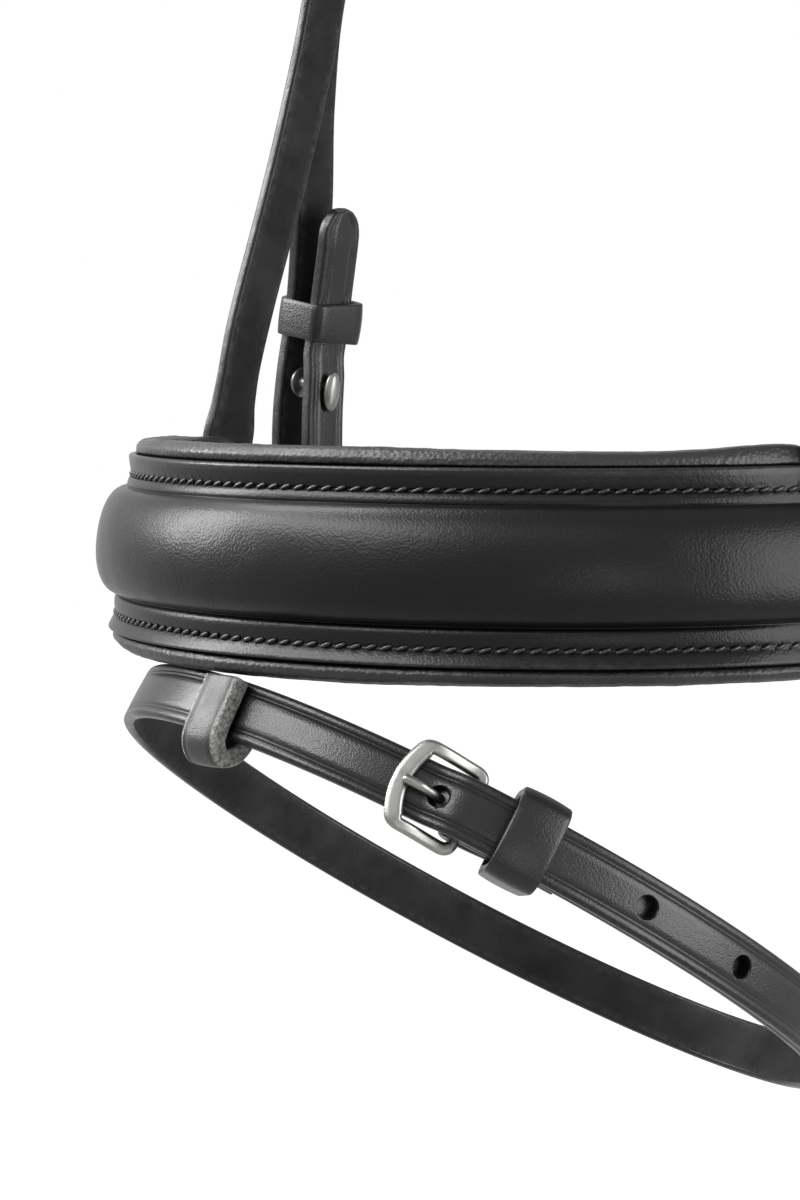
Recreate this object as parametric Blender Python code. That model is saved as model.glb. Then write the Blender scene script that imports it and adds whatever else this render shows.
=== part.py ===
# Anatomic bridle: padded headpiece, bowed browband, hook stud cheekpieces,
# a padded noseband on its own headstall, and a flash strap below it.
# Metres, +Z up, -Y towards the nose, +X the near side. The poll is the origin.
import math
import bisect
import bpy
import bmesh
from mathutils import Vector

for old in list(bpy.data.objects):
    bpy.data.objects.remove(old, do_unlink=True)

NEAR = 1
OFF = -1
SIDE_NAMES = {NEAR: "near", OFF: "off"}

# Clearances
GAP = 0.0003                 # between leathers or metal that touch
KEEPER_ROOM = 0.0012         # each side of a strap inside its keeper
HOLE_ROOM = 0.0014           # round a buckle tongue in its hole

# Leather
LEATHER_EDGE = 0.0005        # bevel along every cut edge
HANGER_WIDTH = 0.0127
HANGER_THICK = 0.0030
CHEEK_WIDTH = 0.0127
CHEEK_THICK = 0.0034
CHIN_WIDTH = 0.0190
CHIN_THICK = 0.0032
FLASH_WIDTH = 0.0132
FLASH_THICK = 0.0028
KEEPER_THICK = 0.0022
KEEPER_LENGTH = 0.0106

# Buckles, shared by every strap
BAR_RADIUS = 0.0011          # round bar that the tongue turns on
TONGUE_RADIUS = 0.00105
FRAME_LENGTH = 0.0138        # bar to outer bar, centre to centre
FRAME_ARCH = 0.0016          # how far the outer bar bows out
FRAME_SIDE = 0.0014          # half width of the side arms
FRAME_OUTER = 0.0019         # half width of the outer bar
FRAME_HALF_THICK = 0.0010
FRAME_ROOM = 0.0009          # between strap edge and side arm
FRAME_CORNER = 0.0023
FRAME_BEVEL = 0.0006         # along the flat face's edges
NOTCH_DEPTH = 0.0004         # seat of the tongue in the outer bar
SLOT_LENGTH = 0.0098         # cut in the fold that lets the tongue through
CHAPE_LENGTH = 0.0240        # strap end folded back round the bar
HOLE_FROM_BAR = 0.0070
HOLE_RADIUS = TONGUE_RADIUS + HOLE_ROOM

# Crown
ARM_SPREAD = 0.0648          # centre plane of each arm from the middle
ARM_THICK = 0.0040
ARM_WIDTH = 0.0360
ARM_DROP = 0.0830            # straight arm below the arch
ARM_Y = 0.0015
POLL_WIDTH = 0.0560
EAR_WIDTH = 0.0310           # cut back behind the ears
EAR_SHIFT = 0.0060
PAD_THICK = 0.0070
PAD_OVERHANG = 0.0035
PAD_HALF_ANGLE = math.radians(66.0)
ARCH_CENTRE_Z = PAD_THICK + GAP + ARM_THICK / 2 - ARM_SPREAD
ARM_END_Z = ARCH_CENTRE_Z - ARM_DROP

# Browband
BROW_WIDTH = 0.0170
BROW_THICK = 0.0026
BROW_REACH = 0.1420          # bow in front of the loops
BROW_LOOP_THICK = 0.0024
BROW_PAD_WIDTH = 0.0210
BROW_PAD_THICK = 0.0044

# Laps, where the billets hang on the crown arms
LAP_LENGTH = 0.0200
LAP_Z = -0.1180
HANGER_LAP_Y = -0.0090
CHEEK_LAP_Y = 0.0120
HANGER_LAP_X = ARM_SPREAD - ARM_THICK / 2 - GAP - HANGER_THICK / 2
CHEEK_LAP_X = ARM_SPREAD + ARM_THICK / 2 + GAP + CHEEK_THICK / 2

# Noseband
NOSE_DROP = 0.3900           # poll to the middle of the noseband
NOSE_CENTRE = Vector((0.0, -0.0100, -NOSE_DROP))
NOSE_HALF_WIDTH = 0.1000
NOSE_HALF_LENGTH = 0.0955
NOSE_CONE = 0.124            # wider below, per metre of height
BAND_GRID = 0.0110           # spacing of the stations along the band
COVER_THICK = 0.0022
COVER_TOP = 0.0214
COVER_BOTTOM = -0.0199
STITCH_TOP = 0.0166
STITCH_BOTTOM = -0.0162
STITCH_SINK = 0.0004         # the stitch rows lie below the face
COVER_FLARE = 0.0006         # and the cut edges stand out past it
BULGE_TOP = 0.0135
BULGE_BOTTOM = -0.0112
BULGE_RISE = 0.0061
COVER_HALF = 0.1700          # along the band from the middle
BULGE_FULL = 0.1310          # the padding stays full up to here
BULGE_END = 0.1354
END_HEIGHT = 0.56            # share of the height left at the ends
LINING_HALF = 0.1350
LINING_ROLL = 0.0043         # soft edge beyond the cover
LINING_THICK = 0.0060
HANGER_AT = 0.1441           # along the band from the middle
HANGER_FOOT = 0.0170          # the strap flares where it is sewn on
HANGER_FOOT_DROP = 0.0120    # foot below the band's middle
FOOT_TURN_TOP = 0.0550       # the strap turns to the band's facing
FOOT_TURN_END = 0.0220       # between these heights
CHIN_LAP = 0.0145            # chin strap sewn under each end of the cover
CHIN_LAP_START = COVER_HALF - CHIN_LAP
CHIN_BAR_AT = 0.2150
CHIN_TAIL = 0.0700
CHIN_KEEPER_AT = 0.0160      # behind the bar
CHIN_RUNNER_AT = 0.0480      # loose keeper on the tail
CHIN_PAD_LENGTH = 0.0700
CHIN_PAD_WIDTH = 0.0300
CHIN_PAD_THICK = 0.0080
CHIN_PAD_SHIFT = 0.0180      # off the middle, clear of the runner

# Flash strap: an ellipse in a plane that falls to the rear and the near side
FLASH_HALF_WIDTH = 0.0817
FLASH_HALF_LENGTH = 0.0799
FLASH_FRONT = -0.0956        # from the noseband's centre
FLASH_DROP = 0.03165
FLASH_SIDE_FALL = 0.138
FLASH_REAR_FALL = 0.607
FLASH_BAR_AT = 0.0612        # along the strap from the front loop
FLASH_TAIL = 0.1120
FLASH_HOLE_AT = 0.0140       # next hole, hidden by the keeper
FLASH_PITCH = 0.0275
FLASH_HOLES = 4              # behind the tongue's own
FLASH_KEEPER_AT = 0.0138     # behind the bar
TAB_WIDTH = 0.0108
TAB_THICK = 0.0040
TAB_SLACK = 0.0008           # behind the strap, which curves away

# Hangers and cheekpieces, from the noseband's centre: (x, y, z), near side,
# set out for this drop from the laps to the noseband's middle
LINE_DROP = 0.2720
HANGER_LINE = [
    (0.0620, 0.0010, 0.2350), (0.0660, 0.0008, 0.2000), (0.0730, 0.0066, 0.1650),
    (0.0805, 0.0078, 0.1340), (0.0850, 0.0053, 0.1095), (0.0890, 0.0007, 0.0840),
    (0.0930, -0.0050, 0.0580), (0.0950, -0.0079, 0.0427)]
CHEEK_LINE = [
    (0.0705, 0.0220, 0.2350), (0.0745, 0.0220, 0.2000), (0.0820, 0.0188, 0.1650),
    (0.0915, 0.0182, 0.1350), (0.0972, 0.0202, 0.1100), (0.1038, 0.0255, 0.0847),
    (0.1092, 0.0282, 0.0580), (0.1123, 0.0273, 0.0380), (0.1132, 0.0266, 0.0240),
    (0.1132, 0.0266, 0.0080), (0.1132, 0.0266, -0.0100)]
STRAP_BAR_AT = 0.0560        # buckle bar below the lap's top end
STRAP_TAIL = 0.0560
STRAP_PITCH = 0.0200
STRAP_HOLES = 3
STRAP_KEEPER_AT = 0.0160

# Bit end of a cheekpiece, turned up on the inside
BIT_END_Z = 0.0095           # centre of the bit loop above the band's middle
BIT_SPREAD = 0.0118          # between the two layers at the loop
KEEPER_SPREAD = 0.0094       # and in the keeper
BIT_TIP_RISE = 0.0765
BIT_KEEPER_RISE = 0.0450
STUD_RISE = 0.0275
STUD_SPREAD = BIT_SPREAD - 0.0008
STUD_SHANK = 0.0015
STUD_PLATE = 0.0042
STUD_HEAD_LENGTH = 0.0120
STUD_HEAD_WIDTH = 0.0052


def material(name, colour, roughness, metallic):
    made = bpy.data.materials.new(name)
    made.use_nodes = True
    shader = made.node_tree.nodes["Principled BSDF"]
    shader.inputs["Base Color"].default_value = (*colour, 1.0)
    shader.inputs["Roughness"].default_value = roughness
    shader.inputs["Metallic"].default_value = metallic
    return made


BLACK_LEATHER = material("black_bridle_leather", (0.012, 0.012, 0.013), 0.42, 0.0)
SOFT_LEATHER = material("soft_padded_leather", (0.018, 0.018, 0.019), 0.55, 0.0)
FOAM = material("closed_cell_foam", (0.05, 0.05, 0.05), 0.9, 0.0)
STEEL = material("brushed_stainless_steel", (0.56, 0.56, 0.55), 0.3, 1.0)


class Route:
    # A line that leather follows: each station has a point, the direction of
    # travel, a direction across the strap and one that faces away from the horse.
    def __init__(self, points, hints, closed=False):
        self.points = points
        self.hints = hints
        self.closed = closed
        self.lengths = [0.0]
        for start, end in zip(points, points[1:]):
            self.lengths.append(self.lengths[-1] + (end - start).length)
        self.total = self.lengths[-1]

    def blend(self, values, at):
        if self.closed:
            at %= self.total
        index = min(max(bisect.bisect_right(self.lengths, at) - 1, 0), len(values) - 2)
        span = self.lengths[index + 1] - self.lengths[index]
        share = (at - self.lengths[index]) / span
        return values[index].lerp(values[index + 1], share)

    def frame(self, at):
        reach = 0.0015
        travel = (self.blend(self.points, at + reach) - self.blend(self.points, at - reach)).normalized()
        hint = self.blend(self.hints, at)
        outward = (hint - travel * hint.dot(travel)).normalized()
        return self.blend(self.points, at), travel, outward.cross(travel), outward

    def place(self, at, across, height):
        point, _, sideways, outward = self.frame(at)
        return point + sideways * across + outward * height


def smooth_line(controls, per_span=10):
    # Catmull-Rom through the control points.
    ends = [controls[0] * 2 - controls[1]] + controls + [controls[-1] * 2 - controls[-2]]
    line = []
    for before, start, end, after in zip(ends, ends[1:], ends[2:], ends[3:]):
        for step in range(per_span):
            t = step / per_span
            line.append(0.5 * (2 * start + (end - before) * t
                               + (2 * before - 5 * start + 4 * end - after) * t ** 2
                               + (3 * start - before - 3 * end + after) * t ** 3))
    line.append(controls[-1].copy())
    return line


def ellipse_route(centre, half_width, half_length, fall_side, fall_rear, cone):
    # Starts at the front and runs to the near side. A fall tilts the plane.
    steps = 360
    points = []
    hints = []
    for step in range(steps + 1):
        angle = math.tau * step / steps
        x = half_width * math.sin(angle)
        y = -half_length * math.cos(angle)
        z = -fall_side * x - fall_rear * (y + half_length)
        points.append(centre + Vector((x, y, z)))
        flat = Vector((math.sin(angle) / half_width, -math.cos(angle) / half_length, 0.0))
        flat.normalize()
        slope = -fall_side * flat.x - fall_rear * flat.y
        hints.append(flat + Vector((0.0, 0.0, slope + cone)))
    return Route(points, hints, closed=True)


def ease(share):
    share = min(max(share, 0.0), 1.0)
    return 0.5 - 0.5 * math.cos(math.pi * share)


def finish(name, mesh_data, finish_material, pivot=None, sharp=35.0):
    # Makes the object, its origin on the pivot that carries it.
    bmesh.ops.recalc_face_normals(mesh_data, faces=mesh_data.faces)
    origin = pivot.location.copy() if pivot else Vector((0.0, 0.0, 0.0))
    bmesh.ops.translate(mesh_data, vec=-origin, verts=mesh_data.verts)
    mesh = bpy.data.meshes.new(name)
    mesh_data.to_mesh(mesh)
    mesh_data.free()
    mesh.shade_smooth()
    mesh.set_sharp_from_angle(angle=math.radians(sharp))
    mesh.materials.append(finish_material)
    made = bpy.data.objects.new(name, mesh)
    bpy.context.scene.collection.objects.link(made)
    made.parent = pivot
    return made


def loft(name, rings, finish_material, pivot=None, closed=False):
    mesh_data = bmesh.new()
    rows = [[mesh_data.verts.new(point) for point in ring] for ring in rings]
    following = rows[1:] + rows[:1] if closed else rows[1:]
    for row, after in zip(rows, following):
        count = len(row)
        for i in range(count):
            j = (i + 1) % count
            mesh_data.faces.new((row[i], row[j], after[j], after[i]))
    if not closed:
        mesh_data.faces.new(reversed(rows[0]))
        mesh_data.faces.new(rows[-1])
    return finish(name, mesh_data, finish_material, pivot)


def pivot_at(name, place, parent=None):
    made = bpy.data.objects.new(name, None)
    made.empty_display_size = 0.01
    made.location = place
    bpy.context.scene.collection.objects.link(made)
    return made


def leather_section(width, thickness):
    x = width / 2
    y = thickness / 2
    edge = LEATHER_EDGE
    return [(-x, edge - y), (edge - x, -y), (x - edge, -y), (x, edge - y),
            (x, y - edge), (x - edge, y), (edge - x, y), (-x, y - edge)]


def strap_rings(route, stations, thickness):
    # Each station is (length along the route, height above it, strap width).
    rings = []
    last = len(stations) - 1
    for i, (at, height, width) in enumerate(stations):
        before = stations[max(i - 1, 0)]
        after = stations[min(i + 1, last)]
        run = after[0] - before[0]
        rise = after[1] - before[1]
        size = math.hypot(run, rise)
        normal_run = -rise / size
        normal_rise = run / size
        rings.append([
            route.place(at + depth * normal_run, across, height + depth * normal_rise)
            for across, depth in leather_section(width, thickness)])
    return rings


def strap(name, route, stations, thickness, pivot=None, finish_material=BLACK_LEATHER):
    return loft(name, strap_rings(route, stations, thickness), finish_material, pivot)


def along(start, end, spacing):
    count = max(1, round(abs(end - start) / spacing))
    return [start + (end - start) * i / count for i in range(count + 1)]


def grid(start, end, spacing):
    # Both ends and the whole multiples of the spacing between them, so that
    # layers on one route bend at the same places.
    first = math.ceil(start / spacing + 0.25)
    last = math.floor(end / spacing - 0.25)
    return [start] + [spacing * i for i in range(first, last + 1)] + [end]


def tip(at, height, width, direction=1):
    # Rounded strap end: the stations from full width to the point.
    radius = width * 0.62
    shares = (0.0, 0.35, 0.62, 0.82, 0.95)
    return [(at - direction * radius * (1 - share), height, width * math.sqrt(1 - share ** 2))
            for share in shares]


def cut(target, cutter):
    cutter.hide_render = True
    cutter.display_type = "WIRE"
    boolean = target.modifiers.new(cutter.name, "BOOLEAN")
    boolean.operation = "DIFFERENCE"
    boolean.solver = "EXACT"
    boolean.object = cutter


def punch_holes(target, route, places, height, radius, depth):
    # Round holes through a strap, one cutter with a drum for each.
    mesh_data = bmesh.new()
    sides = 12
    for at in places:
        rows = []
        for level in (height - depth, height + depth):
            rows.append([mesh_data.verts.new(route.place(
                at + radius * math.cos(math.tau * i / sides),
                radius * math.sin(math.tau * i / sides), level)) for i in range(sides)])
        for i in range(sides):
            j = (i + 1) % sides
            mesh_data.faces.new((rows[0][i], rows[0][j], rows[1][j], rows[1][i]))
        mesh_data.faces.new(reversed(rows[0]))
        mesh_data.faces.new(rows[1])
    cut(target, finish(target.name + "_punch", mesh_data, STEEL, None))


def box_cutter(target, route, start, end, half_width, low, high):
    rings = [[route.place(at, across, height) for across, height in (
        (-half_width, low), (half_width, low), (half_width, high), (-half_width, high))]
        for at in (start, end)]
    cut(target, loft(target.name + "_slot", rings, STEEL))


class Closure:
    # A buckle on a route: where its bar, layers and keepers lie.
    def __init__(self, route, bar_at, level, width, thickness):
        self.route = route
        self.bar_at = bar_at
        self.level = level
        self.width = width
        self.thick = thickness
        self.fold_inner = BAR_RADIUS + GAP
        self.bar_height = level - self.fold_inner - thickness / 2
        self.lay = thickness + GAP

    def chape(self):
        # Stations of the folded end, from its cut edge round the bar.
        back = self.level - self.lay
        low = self.bar_height - self.fold_inner - self.thick / 2
        radius = self.fold_inner + self.thick / 2
        stations = [(self.bar_at + CHAPE_LENGTH, back, self.width),
                    (self.bar_at + 0.0120, back, self.width),
                    (self.bar_at + 0.0085, back - 0.0002, self.width),
                    (self.bar_at + 0.0030, low + 0.0003, self.width)]
        for step in range(9):
            angle = -math.pi / 2 - math.pi * step / 8
            stations.append((self.bar_at + radius * math.cos(angle),
                             self.bar_height + radius * math.sin(angle), self.width))
        return stations

    def billet(self, start, tail, spacing):
        # Stations of the strap that comes through the frame and lies on top.
        over = self.level + self.lay
        stations = [(at, self.level, self.width)
                    for at in along(start, self.bar_at - 0.0100, spacing)]
        for share in (0.22, 0.44, 0.66, 0.88):
            stations.append((self.bar_at - 0.0100 + 0.0090 * share,
                             self.level + self.lay * ease(share), self.width))
        full = self.bar_at + tail - self.width * 0.62
        stations += [(at, over, self.width) for at in along(self.bar_at, full, spacing)[:-1]]
        return stations + tip(self.bar_at + tail, over, self.width)

    def open_slot(self, target):
        half = SLOT_LENGTH / 2
        box_cutter(target, self.route, self.bar_at - half, self.bar_at + half,
                   TONGUE_RADIUS + GAP * 2, self.bar_height - 0.0050, self.level + 0.0022)

    def frame(self, name, pivot):
        # A closed bar that swells from the round chape bar to the flat outer bar.
        half = self.width / 2 + FRAME_ROOM + FRAME_SIDE
        length = FRAME_LENGTH
        outer_height = self.level + self.thick / 2 + GAP + FRAME_HALF_THICK
        side = [(0.0, self.width / 2 + GAP, BAR_RADIUS, BAR_RADIUS),
                (-0.0006, half - 0.0006, FRAME_SIDE, BAR_RADIUS),
                (-0.0030, half, FRAME_SIDE, FRAME_HALF_THICK),
                (-0.0062, half, FRAME_SIDE, FRAME_HALF_THICK),
                (FRAME_CORNER - length, half, FRAME_SIDE, FRAME_HALF_THICK)]
        for step in (1, 2, 3):
            angle = math.pi / 2 * step / 4
            side.append((FRAME_CORNER - length - FRAME_CORNER * math.sin(angle),
                         half - FRAME_CORNER * (1 - math.cos(angle)),
                         FRAME_SIDE + (FRAME_OUTER - FRAME_SIDE) * step / 4, FRAME_HALF_THICK))
        flat = half - FRAME_CORNER
        for share in (1.0, 0.45):
            side.append((-length - FRAME_ARCH * (1 - share ** 2), flat * share,
                         FRAME_OUTER, FRAME_HALF_THICK))
        notch = (-length - FRAME_ARCH, 0.0, FRAME_OUTER, FRAME_HALF_THICK - NOTCH_DEPTH / 2)
        loop = side + [notch] + [(s, -w, a, b) for s, w, a, b in reversed(side)]
        rings = []
        for i, (run, across, wide, deep) in enumerate(loop):
            before = loop[i - 1]
            after = loop[(i + 1) % len(loop)]
            direction = Vector((after[0] - before[0], after[1] - before[1])).normalized()
            rise = self.bar_height + (outer_height - self.bar_height) * ease(-run / length)
            if across == 0.0 and run < 0.0:
                rise -= NOTCH_DEPTH / 2
            bevel = min(FRAME_BEVEL, deep * 0.586)
            ring = []
            for sideways, depth in ((wide, deep - bevel), (wide - bevel, deep), (bevel - wide, deep),
                                    (-wide, deep - bevel), (-wide, bevel - deep), (bevel - wide, -deep),
                                    (wide - bevel, -deep), (wide, bevel - deep)):
                ring.append(self.route.place(
                    self.bar_at + run - direction.y * sideways,
                    across + direction.x * sideways, rise + depth))
            rings.append(ring)
        return loft(name, rings, STEEL, pivot, closed=True)

    def tongue_pivot(self, name):
        return pivot_at(name, self.route.place(self.bar_at, 0.0, self.bar_height))

    def tongue(self, name, pivot):
        # Round wire bent round the bar, up through the hole and over the outer bar.
        ring_radius = BAR_RADIUS + GAP + TONGUE_RADIUS
        line = []
        for step in range(8):
            angle = math.radians(50.0 - 230.0 * step / 7)
            line.append((ring_radius * math.cos(angle),
                         self.bar_height + ring_radius * math.sin(angle)))
        level = self.level
        top = level + self.thick / 2 + GAP * 2 + FRAME_HALF_THICK * 2 - NOTCH_DEPTH + TONGUE_RADIUS
        clear = self.thick / 2
        line += [(-0.0030, level - clear - 0.0005),
                 (-0.0044, level - clear - 0.0001),
                 (-0.0056, level - clear + 0.0002),
                 (-0.0066, level - clear + 0.0011),
                 (-0.0080, level + clear + 0.0002),
                 (-0.0094, level + clear + 0.0016),
                 (-0.0112, top - 0.0003),
                 (-0.0134, top),
                 (-FRAME_LENGTH - FRAME_ARCH - FRAME_OUTER * 0.4, top)]
        sides = 6
        rings = []
        for i, (run, height) in enumerate(line):
            before = line[max(i - 1, 0)]
            after = line[min(i + 1, len(line) - 1)]
            size = math.hypot(after[0] - before[0], after[1] - before[1])
            normal_run = -(after[1] - before[1]) / size
            normal_rise = (after[0] - before[0]) / size
            ring = []
            for corner in range(sides):
                angle = math.tau * corner / sides
                depth = TONGUE_RADIUS * math.cos(angle)
                ring.append(self.route.place(
                    self.bar_at + run + depth * normal_run,
                    TONGUE_RADIUS * math.sin(angle), height + depth * normal_rise))
            rings.append(ring)
        return loft(name, rings, STEEL, pivot)

    def keeper(self, name, behind_bar, pivot, low=None, layers=2):
        low = self.level - self.thick / 2 - self.lay if low is None else low
        high = self.level + self.thick / 2 + self.lay * (layers - 1)
        return keeper(name, self.route, self.bar_at + behind_bar, self.width, low, high, pivot)


def keeper(name, route, centre_at, width, low, high, pivot=None):
    # A closed leather loop round the strap's layers, its corners rounded.
    half = width / 2 + KEEPER_ROOM + KEEPER_THICK / 2
    bottom = low - GAP - KEEPER_THICK / 2
    top = high + GAP + KEEPER_THICK / 2
    corner = min(0.0020, (top - bottom) / 2 - 0.0002)
    rings = []
    for centre_across, centre_height, first in (
            (half - corner, top - corner, 0), (corner - half, top - corner, 1),
            (corner - half, bottom + corner, 2), (half - corner, bottom + corner, 3)):
        for step in range(3):
            angle = math.pi / 2 * (first + step / 2)
            ring = []
            for run, depth in ((-KEEPER_LENGTH / 2, -0.5), (-KEEPER_LENGTH / 2, 0.35),
                               (-KEEPER_LENGTH / 2 + 0.0004, 0.5), (KEEPER_LENGTH / 2 - 0.0004, 0.5),
                               (KEEPER_LENGTH / 2, 0.35), (KEEPER_LENGTH / 2, -0.5)):
                reach = corner + depth * KEEPER_THICK
                ring.append(route.place(centre_at + run,
                                        centre_across + reach * math.cos(angle),
                                        centre_height + reach * math.sin(angle)))
            rings.append(ring)
    return loft(name, rings, BLACK_LEATHER, pivot, closed=True)


# Headpiece

def crown_route():
    straight = along(ARM_END_Z, ARCH_CENTRE_Z, 0.004)[:-1]
    points = [Vector((ARM_SPREAD, 0.0, z)) for z in straight]
    hints = [Vector((1.0, 0.0, 0.0)) for _ in straight]
    steps = 48
    for step in range(steps + 1):
        angle = math.pi * step / steps
        direction = Vector((math.cos(angle), 0.0, math.sin(angle)))
        points.append(Vector((0.0, 0.0, ARCH_CENTRE_Z)) + direction * ARM_SPREAD)
        hints.append(direction)
    for z in reversed(straight):
        points.append(Vector((-ARM_SPREAD, 0.0, z)))
        hints.append(Vector((-1.0, 0.0, 0.0)))
    return Route(points, hints)


CROWN_ROUTE = crown_route()
CROWN_MIDDLE = CROWN_ROUTE.total / 2
EAR_FROM_MIDDLE = ARM_SPREAD * math.radians(58.0)
ARCH_QUARTER = ARM_SPREAD * math.pi / 2


def crown_shape(from_middle):
    # Width and rearward shift of the crown at a length from its middle.
    away = abs(from_middle)
    if away < EAR_FROM_MIDDLE:
        share = ease(away / EAR_FROM_MIDDLE)
        return POLL_WIDTH + (EAR_WIDTH - POLL_WIDTH) * share, ARM_Y + EAR_SHIFT * share
    share = ease((away - EAR_FROM_MIDDLE) / (ARCH_QUARTER - EAR_FROM_MIDDLE + 0.012))
    return EAR_WIDTH + (ARM_WIDTH - EAR_WIDTH) * share, ARM_Y + EAR_SHIFT * (1 - share)


def build_crown():
    rings = []
    for at in along(0.0, CROWN_ROUTE.total, 0.0105):
        width, shift = crown_shape(at - CROWN_MIDDLE)
        rings.append([CROWN_ROUTE.place(at, -shift + across, depth)
                      for across, depth in leather_section(width, ARM_THICK)])
    loft("crown_leather", rings, BLACK_LEATHER)

    # The pad is fullest either side of a channel that frees the nape.
    half = ARM_SPREAD * PAD_HALF_ANGLE
    rings = []
    for from_middle in along(-half, half, 0.0095):
        width, shift = crown_shape(from_middle)
        end = min(1.0, (half - abs(from_middle)) / 0.016)
        swell = 0.45 + 0.55 * math.sqrt(max(0.0, 1 - (1 - end) ** 2))
        x = width / 2 + PAD_OVERHANG
        top = -ARM_THICK / 2 - GAP
        deep = top - PAD_THICK * swell
        channel = PAD_THICK * 0.22 * swell * (1.0 if abs(from_middle) > 0.004 else 0.0)
        section = [(-x, top - 0.0010), (-x + 0.0010, top), (x - 0.0010, top), (x, top - 0.0010),
                   (x - 0.0004, deep + 0.0022), (x * 0.86, deep + 0.0004), (x * 0.5, deep),
                   (x * 0.12, deep + channel), (-x * 0.12, deep + channel), (-x * 0.5, deep),
                   (-x * 0.86, deep + 0.0004), (0.0004 - x, deep + 0.0022)]
        rings.append([CROWN_ROUTE.place(CROWN_MIDDLE + from_middle, across - shift, depth)
                      for across, depth in section])
    loft("crown_pad", rings, SOFT_LEATHER)


# Browband

def browband_route():
    front = ARM_Y - ARM_WIDTH / 2 - 0.0020
    side = ARM_SPREAD + ARM_THICK / 2 + GAP * 2 + BROW_LOOP_THICK + BROW_THICK / 2
    back = ARM_Y + ARM_WIDTH / 2 - 0.0040
    height = LAP_Z + LAP_LENGTH / 2 + GAP + BROW_WIDTH / 2
    points = [Vector((-side, y, height)) for y in along(back, front, 0.003)[:-1]]
    hints = [Vector((-1.0, 0.0, 0.0)) for _ in points]
    steps = 60
    for step in range(steps + 1):
        angle = math.pi * (step / steps - 0.5)
        points.append(Vector((side * math.sin(angle), front - BROW_REACH * math.cos(angle), height)))
        hints.append(Vector((math.sin(angle) / side, -math.cos(angle) / BROW_REACH, 0.0)).normalized())
    for y in along(front, back, 0.003)[1:]:
        points.append(Vector((side, y, height)))
        hints.append(Vector((1.0, 0.0, 0.0)))
    return Route(points, hints)


def build_browband():
    route = browband_route()
    pivot = pivot_at("browband_pivot", Vector((0.0, ARM_Y, LAP_Z + LAP_LENGTH / 2)))
    stations = [(at, 0.0, BROW_WIDTH) for at in grid(0.0, route.total, 0.0125)]
    strap("browband_leather", route, stations, BROW_THICK, pivot)

    clear = ARM_WIDTH + 0.0060
    inner = -BROW_THICK / 2 - GAP
    half = BROW_PAD_WIDTH / 2
    rings = []
    for at in grid(clear, route.total - clear, 0.0125):
        end = min(at - clear, route.total - clear - at) / 0.012
        swell = 0.5 + 0.5 * ease(end)
        deep = inner - BROW_PAD_THICK * swell
        section = [(-half, inner - 0.0008), (-half + 0.0010, inner), (half - 0.0010, inner),
                   (half, inner - 0.0008), (half - 0.0008, deep + 0.0012), (half * 0.5, deep),
                   (-half * 0.5, deep), (0.0008 - half, deep + 0.0012)]
        rings.append([route.place(at, across, depth) for across, depth in section])
    loft("browband_pad", rings, SOFT_LEATHER, pivot)

    # Each end loop slides on its crown arm.
    height = LAP_Z + LAP_LENGTH / 2 + GAP + BROW_WIDTH / 2
    half_long = ARM_WIDTH / 2 + GAP + BROW_LOOP_THICK / 2
    half_wide = ARM_THICK / 2 + GAP + BROW_LOOP_THICK / 2
    corner = 0.0014
    for side, side_name in SIDE_NAMES.items():
        rings = []
        for x_sign, y_sign, first in ((1, 1, 0), (-1, 1, 1), (-1, -1, 2), (1, -1, 3)):
            for step in range(3):
                angle = math.pi / 2 * (first + step / 2)
                ring = []
                for depth, rise in ((-0.5, -1), (0.5, -1), (0.5, 1), (-0.5, 1)):
                    reach = corner + depth * BROW_LOOP_THICK
                    ring.append(Vector((
                        side * ARM_SPREAD + x_sign * (half_wide - corner) + reach * math.cos(angle),
                        ARM_Y + y_sign * (half_long - corner) + reach * math.sin(angle),
                        height + rise * BROW_WIDTH / 2)))
                rings.append(ring)
        loft("browband_loop_" + side_name, rings, BLACK_LEATHER, pivot, closed=True)


# Straps that hang from the crown arms

def hanging_route(side, lap_x, lap_y, line, foot, foot_facing):
    # Faces straight out to the side, and turns to the foot's facing at the end.
    top = LAP_Z + LAP_LENGTH / 2
    controls = [Vector((lap_x, lap_y, top)), Vector((lap_x, lap_y, LAP_Z)),
                Vector((lap_x, lap_y, LAP_Z - LAP_LENGTH / 2))]
    stretch = (LAP_Z + NOSE_DROP) / LINE_DROP
    controls += [NOSE_CENTRE + Vector((x, y, z * stretch)) for x, y, z in line] + foot
    controls = [Vector((side * point.x, point.y, point.z)) for point in controls]
    points = smooth_line(controls)
    hints = []
    for point in points:
        turned = ease((FOOT_TURN_TOP - (point.z - NOSE_CENTRE.z)) / (FOOT_TURN_TOP - FOOT_TURN_END))
        facing = Vector((1.0, 0.0, 0.0)).lerp(foot_facing, turned)
        hints.append(Vector((side * facing.x, facing.y, facing.z)))
    return Route(points, hints)


def round_top(at, height, width):
    # Half round end, so that the lap turns in place below the browband's loop.
    radius = width / 2
    return [(at + radius * (1 - math.cos(math.radians(angle))), height,
             width * math.sin(math.radians(angle))) for angle in (20.0, 38.0, 56.0, 74.0)]


def billet_stations(closure, start, tail):
    stations = round_top(start, closure.level, closure.width)
    return stations + closure.billet(start + closure.width / 2, tail, 0.0120)


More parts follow.
